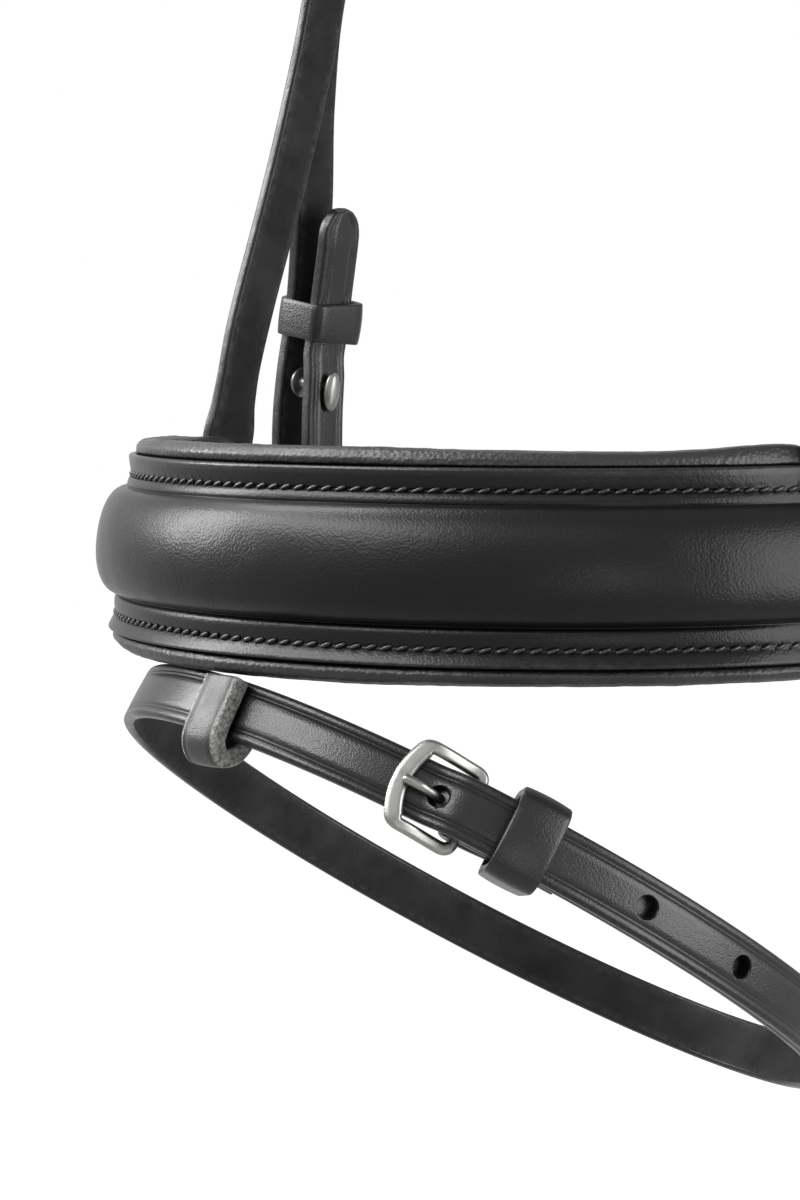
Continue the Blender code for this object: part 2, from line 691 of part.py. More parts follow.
def build_cheekpiece(side):
    name = SIDE_NAMES[side]
    route = hanging_route(side, CHEEK_LAP_X, CHEEK_LAP_Y, CHEEK_LINE, [], Vector((1.0, 0.0, 0.0)))
    pivot = pivot_at("cheekpiece_pivot_" + name,
                     Vector((side * CHEEK_LAP_X, CHEEK_LAP_Y, LAP_Z)))
    closure = Closure(route, STRAP_BAR_AT, 0.0, CHEEK_WIDTH, CHEEK_THICK)
    tongue_pivot = closure.tongue_pivot("cheek_tongue_pivot_" + name)

    billet = strap("cheek_billet_" + name, route,
                   billet_stations(closure, 0.0, STRAP_TAIL), CHEEK_THICK, pivot)
    holes = [closure.bar_at - HOLE_FROM_BAR + STRAP_PITCH * i for i in range(STRAP_HOLES)]
    punch_holes(billet, route, holes, closure.lay / 2, HOLE_RADIUS, CHEEK_THICK + closure.lay)

    # The strap runs down, round the bit and up again on the inside.
    end_at = route.total - (BIT_END_Z + 0.0100)
    stations = closure.chape()
    stations += [(at, 0.0, CHEEK_WIDTH)
                 for at in along(closure.bar_at + 0.0030, end_at, 0.0120)]
    radius = BIT_SPREAD / 2
    for step in range(1, 8):
        angle = math.pi / 2 - math.pi * step / 8
        stations.append((end_at + radius * math.cos(angle),
                         -radius + radius * math.sin(angle), CHEEK_WIDTH))
    for rise, spread in ((0.0, BIT_SPREAD), (0.0110, BIT_SPREAD), (0.0220, BIT_SPREAD - 0.0004),
                         (0.0300, BIT_SPREAD - 0.0010), (0.0370, KEEPER_SPREAD),
                         (0.0500, KEEPER_SPREAD), (0.0600, KEEPER_SPREAD + 0.0006)):
        stations.append((end_at - rise, -spread, CHEEK_WIDTH))
    stations += tip(end_at - BIT_TIP_RISE, -KEEPER_SPREAD - 0.0012, CHEEK_WIDTH, -1)
    cheek = strap("cheekpiece_" + name, route, stations, CHEEK_THICK, pivot)
    closure.open_slot(cheek)
    stud_at = end_at - STUD_RISE
    punch_holes(cheek, route, [stud_at], -STUD_SPREAD, STUD_SHANK + 0.0005, 0.0030)

    closure.frame("cheek_buckle_" + name, pivot)
    closure.tongue("cheek_tongue_" + name, tongue_pivot)
    closure.keeper("cheek_keeper_" + name, STRAP_KEEPER_AT, pivot)
    keeper("bit_keeper_" + name, route, end_at - BIT_KEEPER_RISE, CHEEK_WIDTH,
           -KEEPER_SPREAD - CHEEK_THICK / 2, CHEEK_THICK / 2, pivot)
    build_hook_stud("hook_stud_" + name, route, stud_at, pivot)


def build_hook_stud(name, route, at, pivot):
    # Plate on the cheekpiece, a shank through the billet and a long domed head.
    plate_top = -CHEEK_THICK / 2 - GAP
    plate_low = plate_top - 0.0012
    inner_face = -STUD_SPREAD - CHEEK_THICK / 2
    head_top = inner_face - 0.0006
    half_long = STUD_HEAD_LENGTH / 2
    half_wide = STUD_HEAD_WIDTH / 2
    levels = [(plate_top, STUD_PLATE, STUD_PLATE, 0.0), (plate_low, STUD_PLATE, STUD_PLATE, 0.0),
              (plate_low - 0.0002, STUD_SHANK, STUD_SHANK, 0.0),
              (head_top, STUD_SHANK, STUD_SHANK, 0.0),
              (head_top - 0.0003, half_long - 0.0008, half_wide - 0.0005, 0.0015),
              (head_top - 0.0012, half_long, half_wide, 0.0015),
              (head_top - 0.0021, half_long - 0.0010, half_wide - 0.0007, 0.0015),
              (head_top - 0.0025, half_long * 0.55, half_wide * 0.45, 0.0015)]
    rings = []
    for height, long, wide, shift in levels:
        rings.append([route.place(at + shift + long * math.cos(math.tau * i / 12),
                                  wide * math.sin(math.tau * i / 12), height) for i in range(12)])
    loft(name, rings, STEEL, pivot)


# Noseband

NOSE_ROUTE = ellipse_route(NOSE_CENTRE + Vector((0.0, 0.0, 0.0)), NOSE_HALF_WIDTH,
                           NOSE_HALF_LENGTH, 0.0, 0.0, NOSE_CONE)


def nose_scales(from_middle):
    # How much of the height and of the padding is left towards the ends.
    away = abs(from_middle)
    height = 1 - (1 - END_HEIGHT) * ease((away - BULGE_FULL) / (COVER_HALF - BULGE_FULL))
    bulge = 1 - ease((away - BULGE_FULL) / (BULGE_END - BULGE_FULL))
    end = (COVER_HALF - away) / 0.0060
    if end < 1.0:
        height *= 0.55 + 0.45 * math.sqrt(max(0.0, 1 - (1 - end) ** 2))
    return height, bulge


def bulge_arc(rise, shrink, count):
    middle = (BULGE_TOP + BULGE_BOTTOM) / 2
    half = (BULGE_TOP - BULGE_BOTTOM) / 2 * shrink
    arc = []
    for i in range(count):
        share = (i + 0.6) / (count + 0.2)
        arc.append((middle + half * math.cos(math.pi * share),
                    rise * math.sin(math.pi * share) ** 0.85))
    return arc


def flange_scale(from_middle):
    # The flanges are flat again before the hangers' feet.
    fade = BAND_GRID * 2
    return 1 - ease((abs(from_middle) - BULGE_FULL + fade) / fade)


def cover_section(height_scale, bulge_scale, flange):
    groove = 0.0004
    flare = COVER_FLARE * flange
    sunk = -STITCH_SINK * flange
    face = [(COVER_TOP, flare - 0.0007), (COVER_TOP - 0.0006, flare), (STITCH_TOP + 0.0008, sunk),
            (STITCH_TOP, sunk - groove), (STITCH_TOP - 0.0008, sunk), (BULGE_TOP + 0.0010, 0.0),
            (BULGE_TOP, -groove)]
    face += bulge_arc(BULGE_RISE * bulge_scale, 1.0, 7)
    face += [(BULGE_BOTTOM, -groove), (BULGE_BOTTOM - 0.0010, 0.0), (STITCH_BOTTOM + 0.0008, sunk),
             (STITCH_BOTTOM, sunk - groove), (STITCH_BOTTOM - 0.0008, sunk),
             (COVER_BOTTOM + 0.0006, flare), (COVER_BOTTOM, flare - 0.0007)]
    back = [(COVER_BOTTOM + 0.0003, -COVER_THICK)]
    for z, rise in reversed(bulge_arc(BULGE_RISE * bulge_scale, 0.88, 4)):
        back.append((z, rise - COVER_THICK))
    back.insert(1, (BULGE_BOTTOM + 0.0014, -COVER_THICK))
    back += [(BULGE_TOP - 0.0014, -COVER_THICK), (COVER_TOP - 0.0003, -COVER_THICK)]
    return [(z * height_scale, height) for z, height in face + back]


def core_section(height_scale, bulge_scale):
    front = [(z, rise - COVER_THICK - GAP * 1.5)
             for z, rise in bulge_arc(BULGE_RISE * bulge_scale, 0.80, 6)]
    back = [(BULGE_BOTTOM + 0.0030, -COVER_THICK), (BULGE_TOP - 0.0030, -COVER_THICK)]
    return [(z * height_scale, height) for z, height in front + back]


def lining_section():
    top = COVER_TOP + GAP
    bottom = COVER_BOTTOM - GAP
    crest = COVER_TOP + LINING_ROLL
    keel = COVER_BOTTOM - LINING_ROLL
    front = -COVER_THICK - GAP
    back = front - LINING_THICK
    return [(top, front), (top + 0.0001, -0.0009), (top + 0.0016, -0.0004),
            (crest - 0.0008, -0.0014), (crest, -0.0038), (crest - 0.0008, -0.0064),
            (crest - 0.0034, back), (0.0, back + 0.0004), (keel + 0.0034, back),
            (keel + 0.0008, -0.0064), (keel, -0.0038), (keel + 0.0008, -0.0014),
            (bottom - 0.0016, -0.0004), (bottom - 0.0001, -0.0009), (bottom, front)]


def build_noseband(pivot):
    inner = grid(-BULGE_FULL, BULGE_FULL, BAND_GRID)
    outer = [BULGE_FULL + share * (BULGE_END - BULGE_FULL) for share in (0.3, 0.65, 1.0)]
    outer += [BULGE_END + share * (COVER_HALF - BULGE_END) for share in (0.25, 0.5, 0.75, 0.9, 0.97, 1.0)]
    places = [-at for at in reversed(outer)] + inner + outer
    rings = []
    for at in places:
        section = cover_section(*nose_scales(at), flange_scale(at))
        rings.append([NOSE_ROUTE.place(at, z, height) for z, height in section])
    loft("noseband_cover", rings, BLACK_LEATHER, pivot)

    core_half = BULGE_FULL + 0.0030
    rings = []
    for at in grid(-core_half, core_half, BAND_GRID):
        rings.append([NOSE_ROUTE.place(at, z, height)
                      for z, height in core_section(*nose_scales(at))])
    loft("noseband_core", rings, FOAM, pivot)

    rings = []
    for at in grid(-LINING_HALF, LINING_HALF, BAND_GRID):
        end = min(1.0, (LINING_HALF - abs(at)) / 0.0050)
        scale = 0.90 + 0.10 * math.sqrt(max(0.0, 1 - (1 - end) ** 2))
        height_scale, _ = nose_scales(at)
        rings.append([NOSE_ROUTE.place(at, z * height_scale * scale if abs(z) > 0.022 else z * height_scale,
                                       height) for z, height in lining_section()])
    loft("noseband_lining", rings, SOFT_LEATHER, pivot)


def build_hanger(side, pivot):
    # Its foot is sewn on the face of the cover, the rest hangs from the crown arm.
    name = SIDE_NAMES[side]
    front = GAP + HANGER_THICK / 2
    foot = [NOSE_ROUTE.place(HANGER_AT, z, front) for z in (0.0225, 0.0140, 0.0, -0.0200)]
    facing = NOSE_ROUTE.frame(HANGER_AT)[3]
    route = hanging_route(side, HANGER_LAP_X, HANGER_LAP_Y, HANGER_LINE, foot, facing)
    foot_at = route.total - (0.0200 - HANGER_FOOT_DROP)
    flare_at = foot_at - 0.0540
    spread = HANGER_FOOT - HANGER_WIDTH
    lower = [(foot_at - 0.0440, 0.0, HANGER_WIDTH + spread * 0.3),
             (foot_at - 0.0355, 0.0, HANGER_FOOT), (foot_at - 0.0240, 0.0, HANGER_FOOT),
             (foot_at - 0.0120, 0.0, HANGER_FOOT), (foot_at - 0.0040, 0.0, HANGER_FOOT * 0.98),
             (foot_at - 0.0012, 0.0, HANGER_FOOT * 0.86), (foot_at, 0.0, HANGER_FOOT * 0.70)]

    if side == OFF:
        stations = round_top(0.0, 0.0, HANGER_WIDTH)
        stations += [(at, 0.0, HANGER_WIDTH) for at in along(HANGER_WIDTH / 2, flare_at, 0.0120)]
        strap("noseband_hanger_off", route, stations + lower, HANGER_THICK, pivot)
        return
    closure = Closure(route, STRAP_BAR_AT, 0.0, HANGER_WIDTH, HANGER_THICK)
    tongue_pivot = closure.tongue_pivot("hanger_tongue_pivot")
    billet = strap("noseband_billet", route,
                   billet_stations(closure, 0.0, STRAP_TAIL), HANGER_THICK, pivot)
    holes = [closure.bar_at - HOLE_FROM_BAR + STRAP_PITCH * i for i in range(STRAP_HOLES)]
    punch_holes(billet, route, holes, closure.lay / 2, HOLE_RADIUS, HANGER_THICK + closure.lay)
    stations = closure.chape()
    stations += [(at, 0.0, HANGER_WIDTH)
                 for at in along(closure.bar_at + 0.0030, flare_at, 0.0120)]
    hanger = strap("noseband_hanger_" + name, route, stations + lower, HANGER_THICK, pivot)
    closure.open_slot(hanger)
    closure.frame("hanger_buckle", pivot)
    closure.tongue("hanger_tongue", tongue_pivot)
    closure.keeper("hanger_keeper", STRAP_KEEPER_AT, pivot)


def build_chin_strap(pivot):
    level = -COVER_THICK - GAP - CHIN_THICK / 2
    closure = Closure(NOSE_ROUTE, CHIN_BAR_AT, level, CHIN_WIDTH, CHIN_THICK)
    tongue_pivot = closure.tongue_pivot("chin_tongue_pivot")
    billet = strap("chin_billet", NOSE_ROUTE,
                   closure.billet(CHIN_LAP_START, CHIN_TAIL, BAND_GRID), CHIN_THICK, pivot)
    holes = [closure.bar_at - HOLE_FROM_BAR + STRAP_PITCH * i for i in range(STRAP_HOLES + 1)]
    punch_holes(billet, NOSE_ROUTE, holes, level + closure.lay / 2, HOLE_RADIUS,
                CHIN_THICK + closure.lay)
    stations = closure.chape()
    stations += [(at, level, CHIN_WIDTH)
                 for at in along(closure.bar_at + 0.0030, NOSE_ROUTE.total - CHIN_LAP_START, BAND_GRID)]
    chin = strap("chin_strap", NOSE_ROUTE, stations, CHIN_THICK, pivot)
    closure.open_slot(chin)
    closure.frame("chin_buckle", pivot)
    closure.tongue("chin_tongue", tongue_pivot)
    closure.keeper("chin_keeper", CHIN_KEEPER_AT, pivot)
    runner_at = closure.bar_at + CHIN_RUNNER_AT
    runner_pivot = pivot_at("chin_runner_pivot", NOSE_ROUTE.place(runner_at, 0.0, level))
    closure.keeper("chin_runner", CHIN_RUNNER_AT, runner_pivot, low=level - CHIN_THICK / 2)

    # Padded rest behind the chin, on the inside of the strap.
    middle = NOSE_ROUTE.total / 2
    front = level - CHIN_THICK / 2 - GAP
    rings = []
    for at in along(-CHIN_PAD_LENGTH / 2, CHIN_PAD_LENGTH / 2, 0.0070):
        share = min(1.0, (CHIN_PAD_LENGTH / 2 - abs(at)) / 0.0120)
        round_end = math.sqrt(max(0.0, 1 - (1 - share) ** 2))
        half = CHIN_PAD_WIDTH / 2 * (0.60 + 0.40 * round_end)
        deep = front - CHIN_PAD_THICK * (0.40 + 0.60 * round_end)
        section = [(-half, front - 0.0010), (0.0010 - half, front), (half - 0.0010, front),
                   (half, front - 0.0010), (half - 0.0006, deep + 0.0022), (half * 0.72, deep + 0.0004),
                   (half * 0.3, deep), (-half * 0.3, deep), (-half * 0.72, deep + 0.0004),
                   (0.0006 - half, deep + 0.0022)]
        rings.append([NOSE_ROUTE.place(middle + CHIN_PAD_SHIFT + at, across, depth)
                      for across, depth in section])
    loft("chin_pad", rings, SOFT_LEATHER, pivot)


# Flash strap

def build_flash_tab(route):
    # Hangs level from the noseband: down in front of the strap, up behind it.
    base = route.place(0.0, 0.0, 0.0)
    lift = Vector((0.0, FLASH_REAR_FALL, 1.0)).normalized()
    outward = Vector((0.0, -1.0, FLASH_REAR_FALL)).normalized()
    lay = FLASH_THICK / 2 + GAP + TAB_THICK / 2
    half = FLASH_WIDTH / 2
    line = [(half - 0.0014, lay), (0.0, lay), (-half + 0.0008, lay), (-half - 0.0020, lay - 0.0004),
            (-half - 0.0042, lay - 0.0020), (-half - 0.0050, 0.0), (-half - 0.0042, 0.0020 - lay),
            (-half - 0.0020, -lay), (-half + 0.0008, -lay - TAB_SLACK), (0.0, -lay - TAB_SLACK),
            (half - 0.0018, -lay - TAB_SLACK)]
    hinge = base + lift * line[0][0] + outward * line[0][1]
    pivot = pivot_at("flash_pivot", hinge)
    rings = []
    for i, (rise, depth) in enumerate(line):
        before = line[max(i - 1, 0)]
        after = line[min(i + 1, len(line) - 1)]
        direction = Vector((after[0] - before[0], after[1] - before[1])).normalized()
        rings.append([base + Vector((side, 0.0, 0.0)) + lift * (rise - direction.y * ply)
                      + outward * (depth + direction.x * ply)
                      for side, ply in leather_section(TAB_WIDTH, TAB_THICK)])
    loft("flash_tab", rings, BLACK_LEATHER, pivot)
    return pivot


def build_flash():
    centre = NOSE_CENTRE + Vector((0.0, FLASH_FRONT + FLASH_HALF_LENGTH, -FLASH_DROP))
    route = ellipse_route(centre, FLASH_HALF_WIDTH, FLASH_HALF_LENGTH,
                          FLASH_SIDE_FALL, FLASH_REAR_FALL, 0.0)
    closure = Closure(route, FLASH_BAR_AT, 0.0, FLASH_WIDTH, FLASH_THICK)

    pivot = build_flash_tab(route)

    # One strap: chape at the buckle, round the chin, through the loop, and the tail.
    lap = Closure(route, FLASH_BAR_AT + route.total, 0.0, FLASH_WIDTH, FLASH_THICK)
    stations = closure.chape() + lap.billet(closure.bar_at + 0.0030, FLASH_TAIL, BAND_GRID)
    band = strap("flash_strap", route, stations, FLASH_THICK, pivot)
    closure.open_slot(band)
    hole = closure.bar_at - HOLE_FROM_BAR
    punch_holes(band, route, [hole], closure.lay / 2, HOLE_RADIUS, FLASH_THICK + GAP)
    holes = [closure.bar_at + FLASH_HOLE_AT + FLASH_PITCH * i for i in range(FLASH_HOLES)]
    punch_holes_outer(band, route, holes, closure.lay)

    closure.frame("flash_buckle", pivot)
    closure.tongue("flash_tongue", closure.tongue_pivot("flash_tongue_pivot"))
    keeper_at = closure.bar_at + FLASH_KEEPER_AT
    keeper_pivot = pivot_at("flash_keeper_pivot", route.place(keeper_at, 0.0, 0.0))
    closure.keeper("flash_keeper", FLASH_KEEPER_AT, keeper_pivot)


def punch_holes_outer(band, route, places, lay):
    # Through the tail alone: the layer under it stays whole.
    punch_holes(band, route, places, lay + FLASH_THICK, HOLE_RADIUS, FLASH_THICK * 1.5 + GAP / 2)


build_crown()
build_browband()
for side in SIDE_NAMES:
    build_cheekpiece(side)
noseband_pivot = pivot_at("noseband_pivot", Vector((0.0, HANGER_LAP_Y, LAP_Z)))
build_noseband(noseband_pivot)
for side in SIDE_NAMES:
    build_hanger(side, noseband_pivot)
build_chin_strap(noseband_pivot)
build_flash()
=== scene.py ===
import bisect
import math
import bmesh
import bpy
import numpy as np
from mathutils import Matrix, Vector, noise


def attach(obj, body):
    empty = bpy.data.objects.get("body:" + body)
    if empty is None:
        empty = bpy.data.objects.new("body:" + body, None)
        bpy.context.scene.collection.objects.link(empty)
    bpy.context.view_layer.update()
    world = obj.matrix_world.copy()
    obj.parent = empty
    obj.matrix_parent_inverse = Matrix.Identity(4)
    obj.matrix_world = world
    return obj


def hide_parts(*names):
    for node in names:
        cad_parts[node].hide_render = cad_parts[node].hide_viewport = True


# Anatomic bridle in black bridle leather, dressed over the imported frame.
# Meshes are in metres and settings in millimetres. The nose is at -Y, the near side at +X.
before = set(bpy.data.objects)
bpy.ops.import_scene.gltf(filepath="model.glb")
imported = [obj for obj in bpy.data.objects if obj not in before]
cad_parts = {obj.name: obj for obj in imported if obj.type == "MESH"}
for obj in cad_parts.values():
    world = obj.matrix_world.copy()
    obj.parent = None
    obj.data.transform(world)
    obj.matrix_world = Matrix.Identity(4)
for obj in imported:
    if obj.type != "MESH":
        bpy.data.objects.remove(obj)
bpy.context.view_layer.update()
scene = bpy.context.scene
scene.view_settings.view_transform = "Standard"
mm = 0.001
near, off = 1, -1
sideName = {near: "near", off: "off"}


# Camera: the photograph's view, from the near side of the nose and a little above it.
camera = {"focus": (0.0, -10.0, -390.0), "azimuth": 42.926, "distance": 701.245, "rise": 45.113,
          "turn": 2.561, "tilt": 4.819, "focalPixels": 2956.841, "pictureHeight": 1200}


def placeCamera():
    stand = math.radians(camera["azimuth"])
    aim = math.radians(camera["azimuth"] + camera["turn"])
    tilt = math.radians(camera["tilt"])
    eye = Vector(camera["focus"]) + Vector((math.sin(stand) * camera["distance"],
                                            -math.cos(stand) * camera["distance"], camera["rise"]))
    look = Vector((-math.sin(aim) * math.cos(tilt), math.cos(aim) * math.cos(tilt), -math.sin(tilt)))
    data = bpy.data.cameras.new("camera")
    data.sensor_width = 36.0
    data.lens = camera["focalPixels"] * 36.0 / camera["pictureHeight"]
    data.clip_start = 0.02
    made = bpy.data.objects.new("camera", data)
    made.location = eye * mm
    made.rotation_euler = look.to_track_quat("-Z", "Y").to_euler()
    scene.collection.objects.link(made)
    scene.camera = made


placeCamera()
print("camera placed")


# Small tools

def linear(hexColour):
    parts = [int(hexColour[i:i + 2], 16) / 255 for i in (1, 3, 5)]
    return [p / 12.92 if p <= 0.04045 else ((p + 0.055) / 1.055) ** 2.4 for p in parts] + [1.0]


def addNode(tree, kind, values=None, links=None, **settings):
    made = tree.nodes.new(kind)
    for key, value in settings.items():
        setattr(made, key, value)
    for key, value in (values or {}).items():
        made.inputs[key].default_value = value
    for key, socket in (links or {}).items():
        tree.links.new(socket, made.inputs[key])
    return made


def ease(share):
    share = min(max(share, 0.0), 1.0)
    return 0.5 - 0.5 * math.cos(math.pi * share)


def smoothRows(rows, step, closed=False):
    # A curve through the rows that never overshoots them. Their first two columns are its path.
    table = np.array(rows, float)
    if closed:
        table = np.vstack([table[-3:], table, table[:4]])
    span = np.maximum(np.hypot(*np.diff(table[:, :2], axis=0).T), 1e-7)[:, None]
    slope = np.diff(table, axis=0) / span
    tangent = np.zeros_like(table)
    tangent[0], tangent[-1] = slope[0], slope[-1]
    before, after = slope[:-1], slope[1:]
    first, second = 2 * span[1:] + span[:-1], span[1:] + 2 * span[:-1]
    same = before * after > 0
    with np.errstate(divide="ignore", invalid="ignore"):
        mean = (first + second) / (first / before + second / after)
    tangent[1:-1] = np.where(same, mean, 0.0)
    made = []
    for i in range(3 if closed else 0, len(table) - (4 if closed else 1)):
        count = max(1, math.ceil(span[i, 0] / step - 0.25))
        for k in range(count):
            t = k / count
            made.append((2 * t ** 3 - 3 * t ** 2 + 1) * table[i]
                        + (t ** 3 - 2 * t ** 2 + t) * span[i] * tangent[i]
                        + (3 * t ** 2 - 2 * t ** 3) * table[i + 1]
                        + (t ** 3 - t ** 2) * span[i] * tangent[i + 1])
    if not closed:
        made.append(table[-1])
    return [tuple(row) for row in made]


def spaced(start, end, step):
    count = max(1, round(abs(end - start) / step))
    return [start + (end - start) * i / count for i in range(count + 1)]


def roundOff(share):
    # A quarter circle's rise, from nothing at 0 to full at 1 and beyond.
    return math.sqrt(max(0.0, 1 - (1 - min(share, 1.0)) ** 2))


def neighbours(rows, i):
    return rows[max(i - 1, 0)], rows[min(i + 1, len(rows) - 1)]


def withMiddles(rows):
    # A closed run of rows, with one more halfway after each.
    return [row for pair in zip(rows, rows[1:] + rows[:1])
            for row in (pair[0], tuple((a + b) / 2 for a, b in zip(*pair)))]


class strapLine:
    # A line that leather follows, with a facing away from the horse at each point.
    def __init__(self, points, hints, closed=False):
        self.points, self.hints, self.closed = points, hints, closed
        self.lengths = [0.0]
        for start, end in zip(points, points[1:]):
            self.lengths.append(self.lengths[-1] + (end - start).length)
        self.total = self.lengths[-1]

    def between(self, values, at):
        if self.closed:
            at %= self.total
        index = min(max(bisect.bisect_right(self.lengths, at) - 1, 0), len(values) - 2)
        share = (at - self.lengths[index]) / (self.lengths[index + 1] - self.lengths[index])
        return values[index].lerp(values[index + 1], share)

    def frameAt(self, at):
        reach = 1.5 * mm
        ahead, behind = self.between(self.points, at + reach), self.between(self.points, at - reach)
        travel = (ahead - behind).normalized()
        hint = self.between(self.hints, at)
        outward = (hint - travel * hint.dot(travel)).normalized()
        return self.between(self.points, at), travel, outward.cross(travel), outward

    def place(self, at, across, height):
        point, _, sideways, outward = self.frameAt(at)
        return point + sideways * across + outward * height


def smoothLine(controls, perSpan=10):
    ends = [controls[0] * 2 - controls[1]] + controls + [controls[-1] * 2 - controls[-2]]
    line = []
    for a, b, c, d in zip(ends, ends[1:], ends[2:], ends[3:]):
        for step in range(perSpan):
            t = step / perSpan
            line.append(0.5 * (2 * b + (c - a) * t + (2 * a - 5 * b + 4 * c - d) * t ** 2
                               + (3 * b - a - 3 * c + d) * t ** 3))
    return line + [controls[-1].copy()]


def ovalLine(centre, halfWidth, halfLength, sideFall, rearFall, cone):
    # From the front round by the near side. A fall tilts the plane, a cone leans the leather.
    points, hints = [], []
    for step in range(361):
        angle = math.tau * step / 360
        x, y = halfWidth * math.sin(angle), -halfLength * math.cos(angle)
        points.append(centre + Vector((x, y, -sideFall * x - rearFall * (y + halfLength))))
        flat = Vector((math.sin(angle) / halfWidth, -math.cos(angle) / halfLength, 0.0)).normalized()
        hints.append(flat + Vector((0.0, 0.0, -sideFall * flat.x - rearFall * flat.y + cone)))
    return strapLine(points, hints, closed=True)


# Materials. Each pattern is sized from a real width in millimetres, on object coordinates.

def emptyMaterial(name):
    made = bpy.data.materials.new(name)
    made.use_nodes = True
    made.node_tree.nodes.clear()
    return made, made.node_tree


def leatherMaterial(name, look):
    made, tree = emptyMaterial(name)
    where = addNode(tree, "ShaderNodeTexCoord").outputs["Object"]
    tone = addNode(tree, "ShaderNodeTexNoise",
                   {"Scale": 1000 / look["patch"], "Detail": 4.0, "Roughness": 0.6}, {"Vector": where})
    spread = addNode(tree, "ShaderNodeMapRange", {"From Min": 0.36, "From Max": 0.64},
                     {"Value": tone.outputs["Fac"]})
    dye = addNode(tree, "ShaderNodeMix", {"A": linear(look["dark"]), "B": linear(look["light"])},
                  {"Factor": spread.outputs["Result"]}, data_type="RGBA")
    wear = addNode(tree, "ShaderNodeAttribute", attribute_name="wear").outputs["Fac"]
    scuff = addNode(tree, "ShaderNodeTexNoise",
                    {"Scale": 1000 / look["scuff"], "Detail": 6.0, "Roughness": 0.7}, {"Vector": where})
    scuffed = addNode(tree, "ShaderNodeMapRange", {"From Min": 0.40, "From Max": 0.66},
                      {"Value": scuff.outputs["Fac"]})
    rubbed = addNode(tree, "ShaderNodeMath", {}, {0: wear, 1: scuffed.outputs["Result"]},
                     operation="MULTIPLY")
    colour = addNode(tree, "ShaderNodeMix", {"B": linear(look["rubbed"])},
                     {"Factor": rubbed.outputs[0], "A": dye.outputs["Result"]}, data_type="RGBA")
    cells = addNode(tree, "ShaderNodeTexVoronoi", {"Scale": 1000 / look["grain"]}, {"Vector": where},
                    feature="SMOOTH_F1")
    cells.inputs["Smoothness"].default_value = 0.35
    fine = addNode(tree, "ShaderNodeTexNoise", {"Scale": 1000 / (look["grain"] * 0.45), "Detail": 3.0,
                                                "Roughness": 0.55}, {"Vector": where})
    swell = addNode(tree, "ShaderNodeTexNoise", {"Scale": 1000 / look["swell"], "Detail": 2.0},
                    {"Vector": where})
    gloss = addNode(tree, "ShaderNodeMapRange", {"To Min": look["roughness"] + look["roughnessSpread"],
                                                 "To Max": look["roughness"] - look["roughnessSpread"]},
                    {"Value": spread.outputs["Result"]})
    pore = addNode(tree, "ShaderNodeMath", {1: look["grainGloss"]},
                   {0: cells.outputs["Distance"], 2: gloss.outputs["Result"]}, operation="MULTIPLY_ADD")
    first = addNode(tree, "ShaderNodeBump", {"Strength": 1.0, "Distance": look["swellDepth"] * mm},
                    {"Height": swell.outputs["Fac"]})
    second = addNode(tree, "ShaderNodeBump", {"Strength": 1.0, "Distance": look["grainDepth"] * mm},
                     {"Height": cells.outputs["Distance"], "Normal": first.outputs["Normal"]}, invert=True)
    third = addNode(tree, "ShaderNodeBump", {"Strength": 1.0, "Distance": look["grainDepth"] * 0.15 * mm},
                    {"Height": fine.outputs["Fac"], "Normal": second.outputs["Normal"]})
    shader = addNode(tree, "ShaderNodeBsdfPrincipled",
                     {"IOR": 1.5, "Specular IOR Level": look["specular"]},
                     {"Base Color": colour.outputs["Result"], "Roughness": pore.outputs[0],
                      "Normal": third.outputs["Normal"]})
    addNode(tree, "ShaderNodeOutputMaterial", {}, {"Surface": shader.outputs["BSDF"]})
    return made


def metalMaterial(name, look):
    # Brushing runs along each bar, on the piece's own map: u along it, v round it, in metres.
    made, tree = emptyMaterial(name)
    where = addNode(tree, "ShaderNodeTexCoord")
    along = addNode(tree, "ShaderNodeMapping",
                    {"Scale": (1000 / look["stroke"], 1000 / look["scratch"], 1.0)},
                    {"Vector": where.outputs["UV"]})
    strokes = addNode(tree, "ShaderNodeTexNoise", {"Scale": 1.0, "Detail": 3.0, "Roughness": 0.6},
                      {"Vector": along.outputs["Vector"]})
    cloud = addNode(tree, "ShaderNodeTexNoise", {"Scale": 1000 / look["cloud"], "Detail": 3.0},
                    {"Vector": where.outputs["Object"]})
    tint = addNode(tree, "ShaderNodeMix", {"A": linear(look["dark"]), "B": linear(look["light"])},
                   {"Factor": cloud.outputs["Fac"]}, data_type="RGBA")
    rough = addNode(tree, "ShaderNodeMapRange",
                    {"From Min": 0.3, "From Max": 0.7, "To Min": look["roughness"] - 0.07,
                     "To Max": look["roughness"] + 0.08}, {"Value": strokes.outputs["Fac"]})
    bump = addNode(tree, "ShaderNodeBump", {"Strength": 1.0, "Distance": look["depth"] * mm},
                   {"Height": strokes.outputs["Fac"]})
    shader = addNode(tree, "ShaderNodeBsdfPrincipled", {"Metallic": 1.0},
                     {"Base Color": tint.outputs["Result"], "Roughness": rough.outputs["Result"],
                      "Normal": bump.outputs["Normal"]})
    addNode(tree, "ShaderNodeOutputMaterial", {}, {"Surface": shader.outputs["BSDF"]})
    return made


# Vegetable tanned bridle leather, drum dyed and waxed: deep black, soft broad highlights, fine pores.
waxedBridleLeather = leatherMaterial("waxed_bridle_leather", {
    "dark": "#080809", "light": "#101011", "rubbed": "#262627", "patch": 34.0, "scuff": 1.6,
    "grain": 0.42, "grainDepth": 0.044, "grainGloss": 0.06, "swell": 5.0, "swellDepth": 0.05,
    "roughness": 0.30, "roughnessSpread": 0.04, "specular": 0.29})
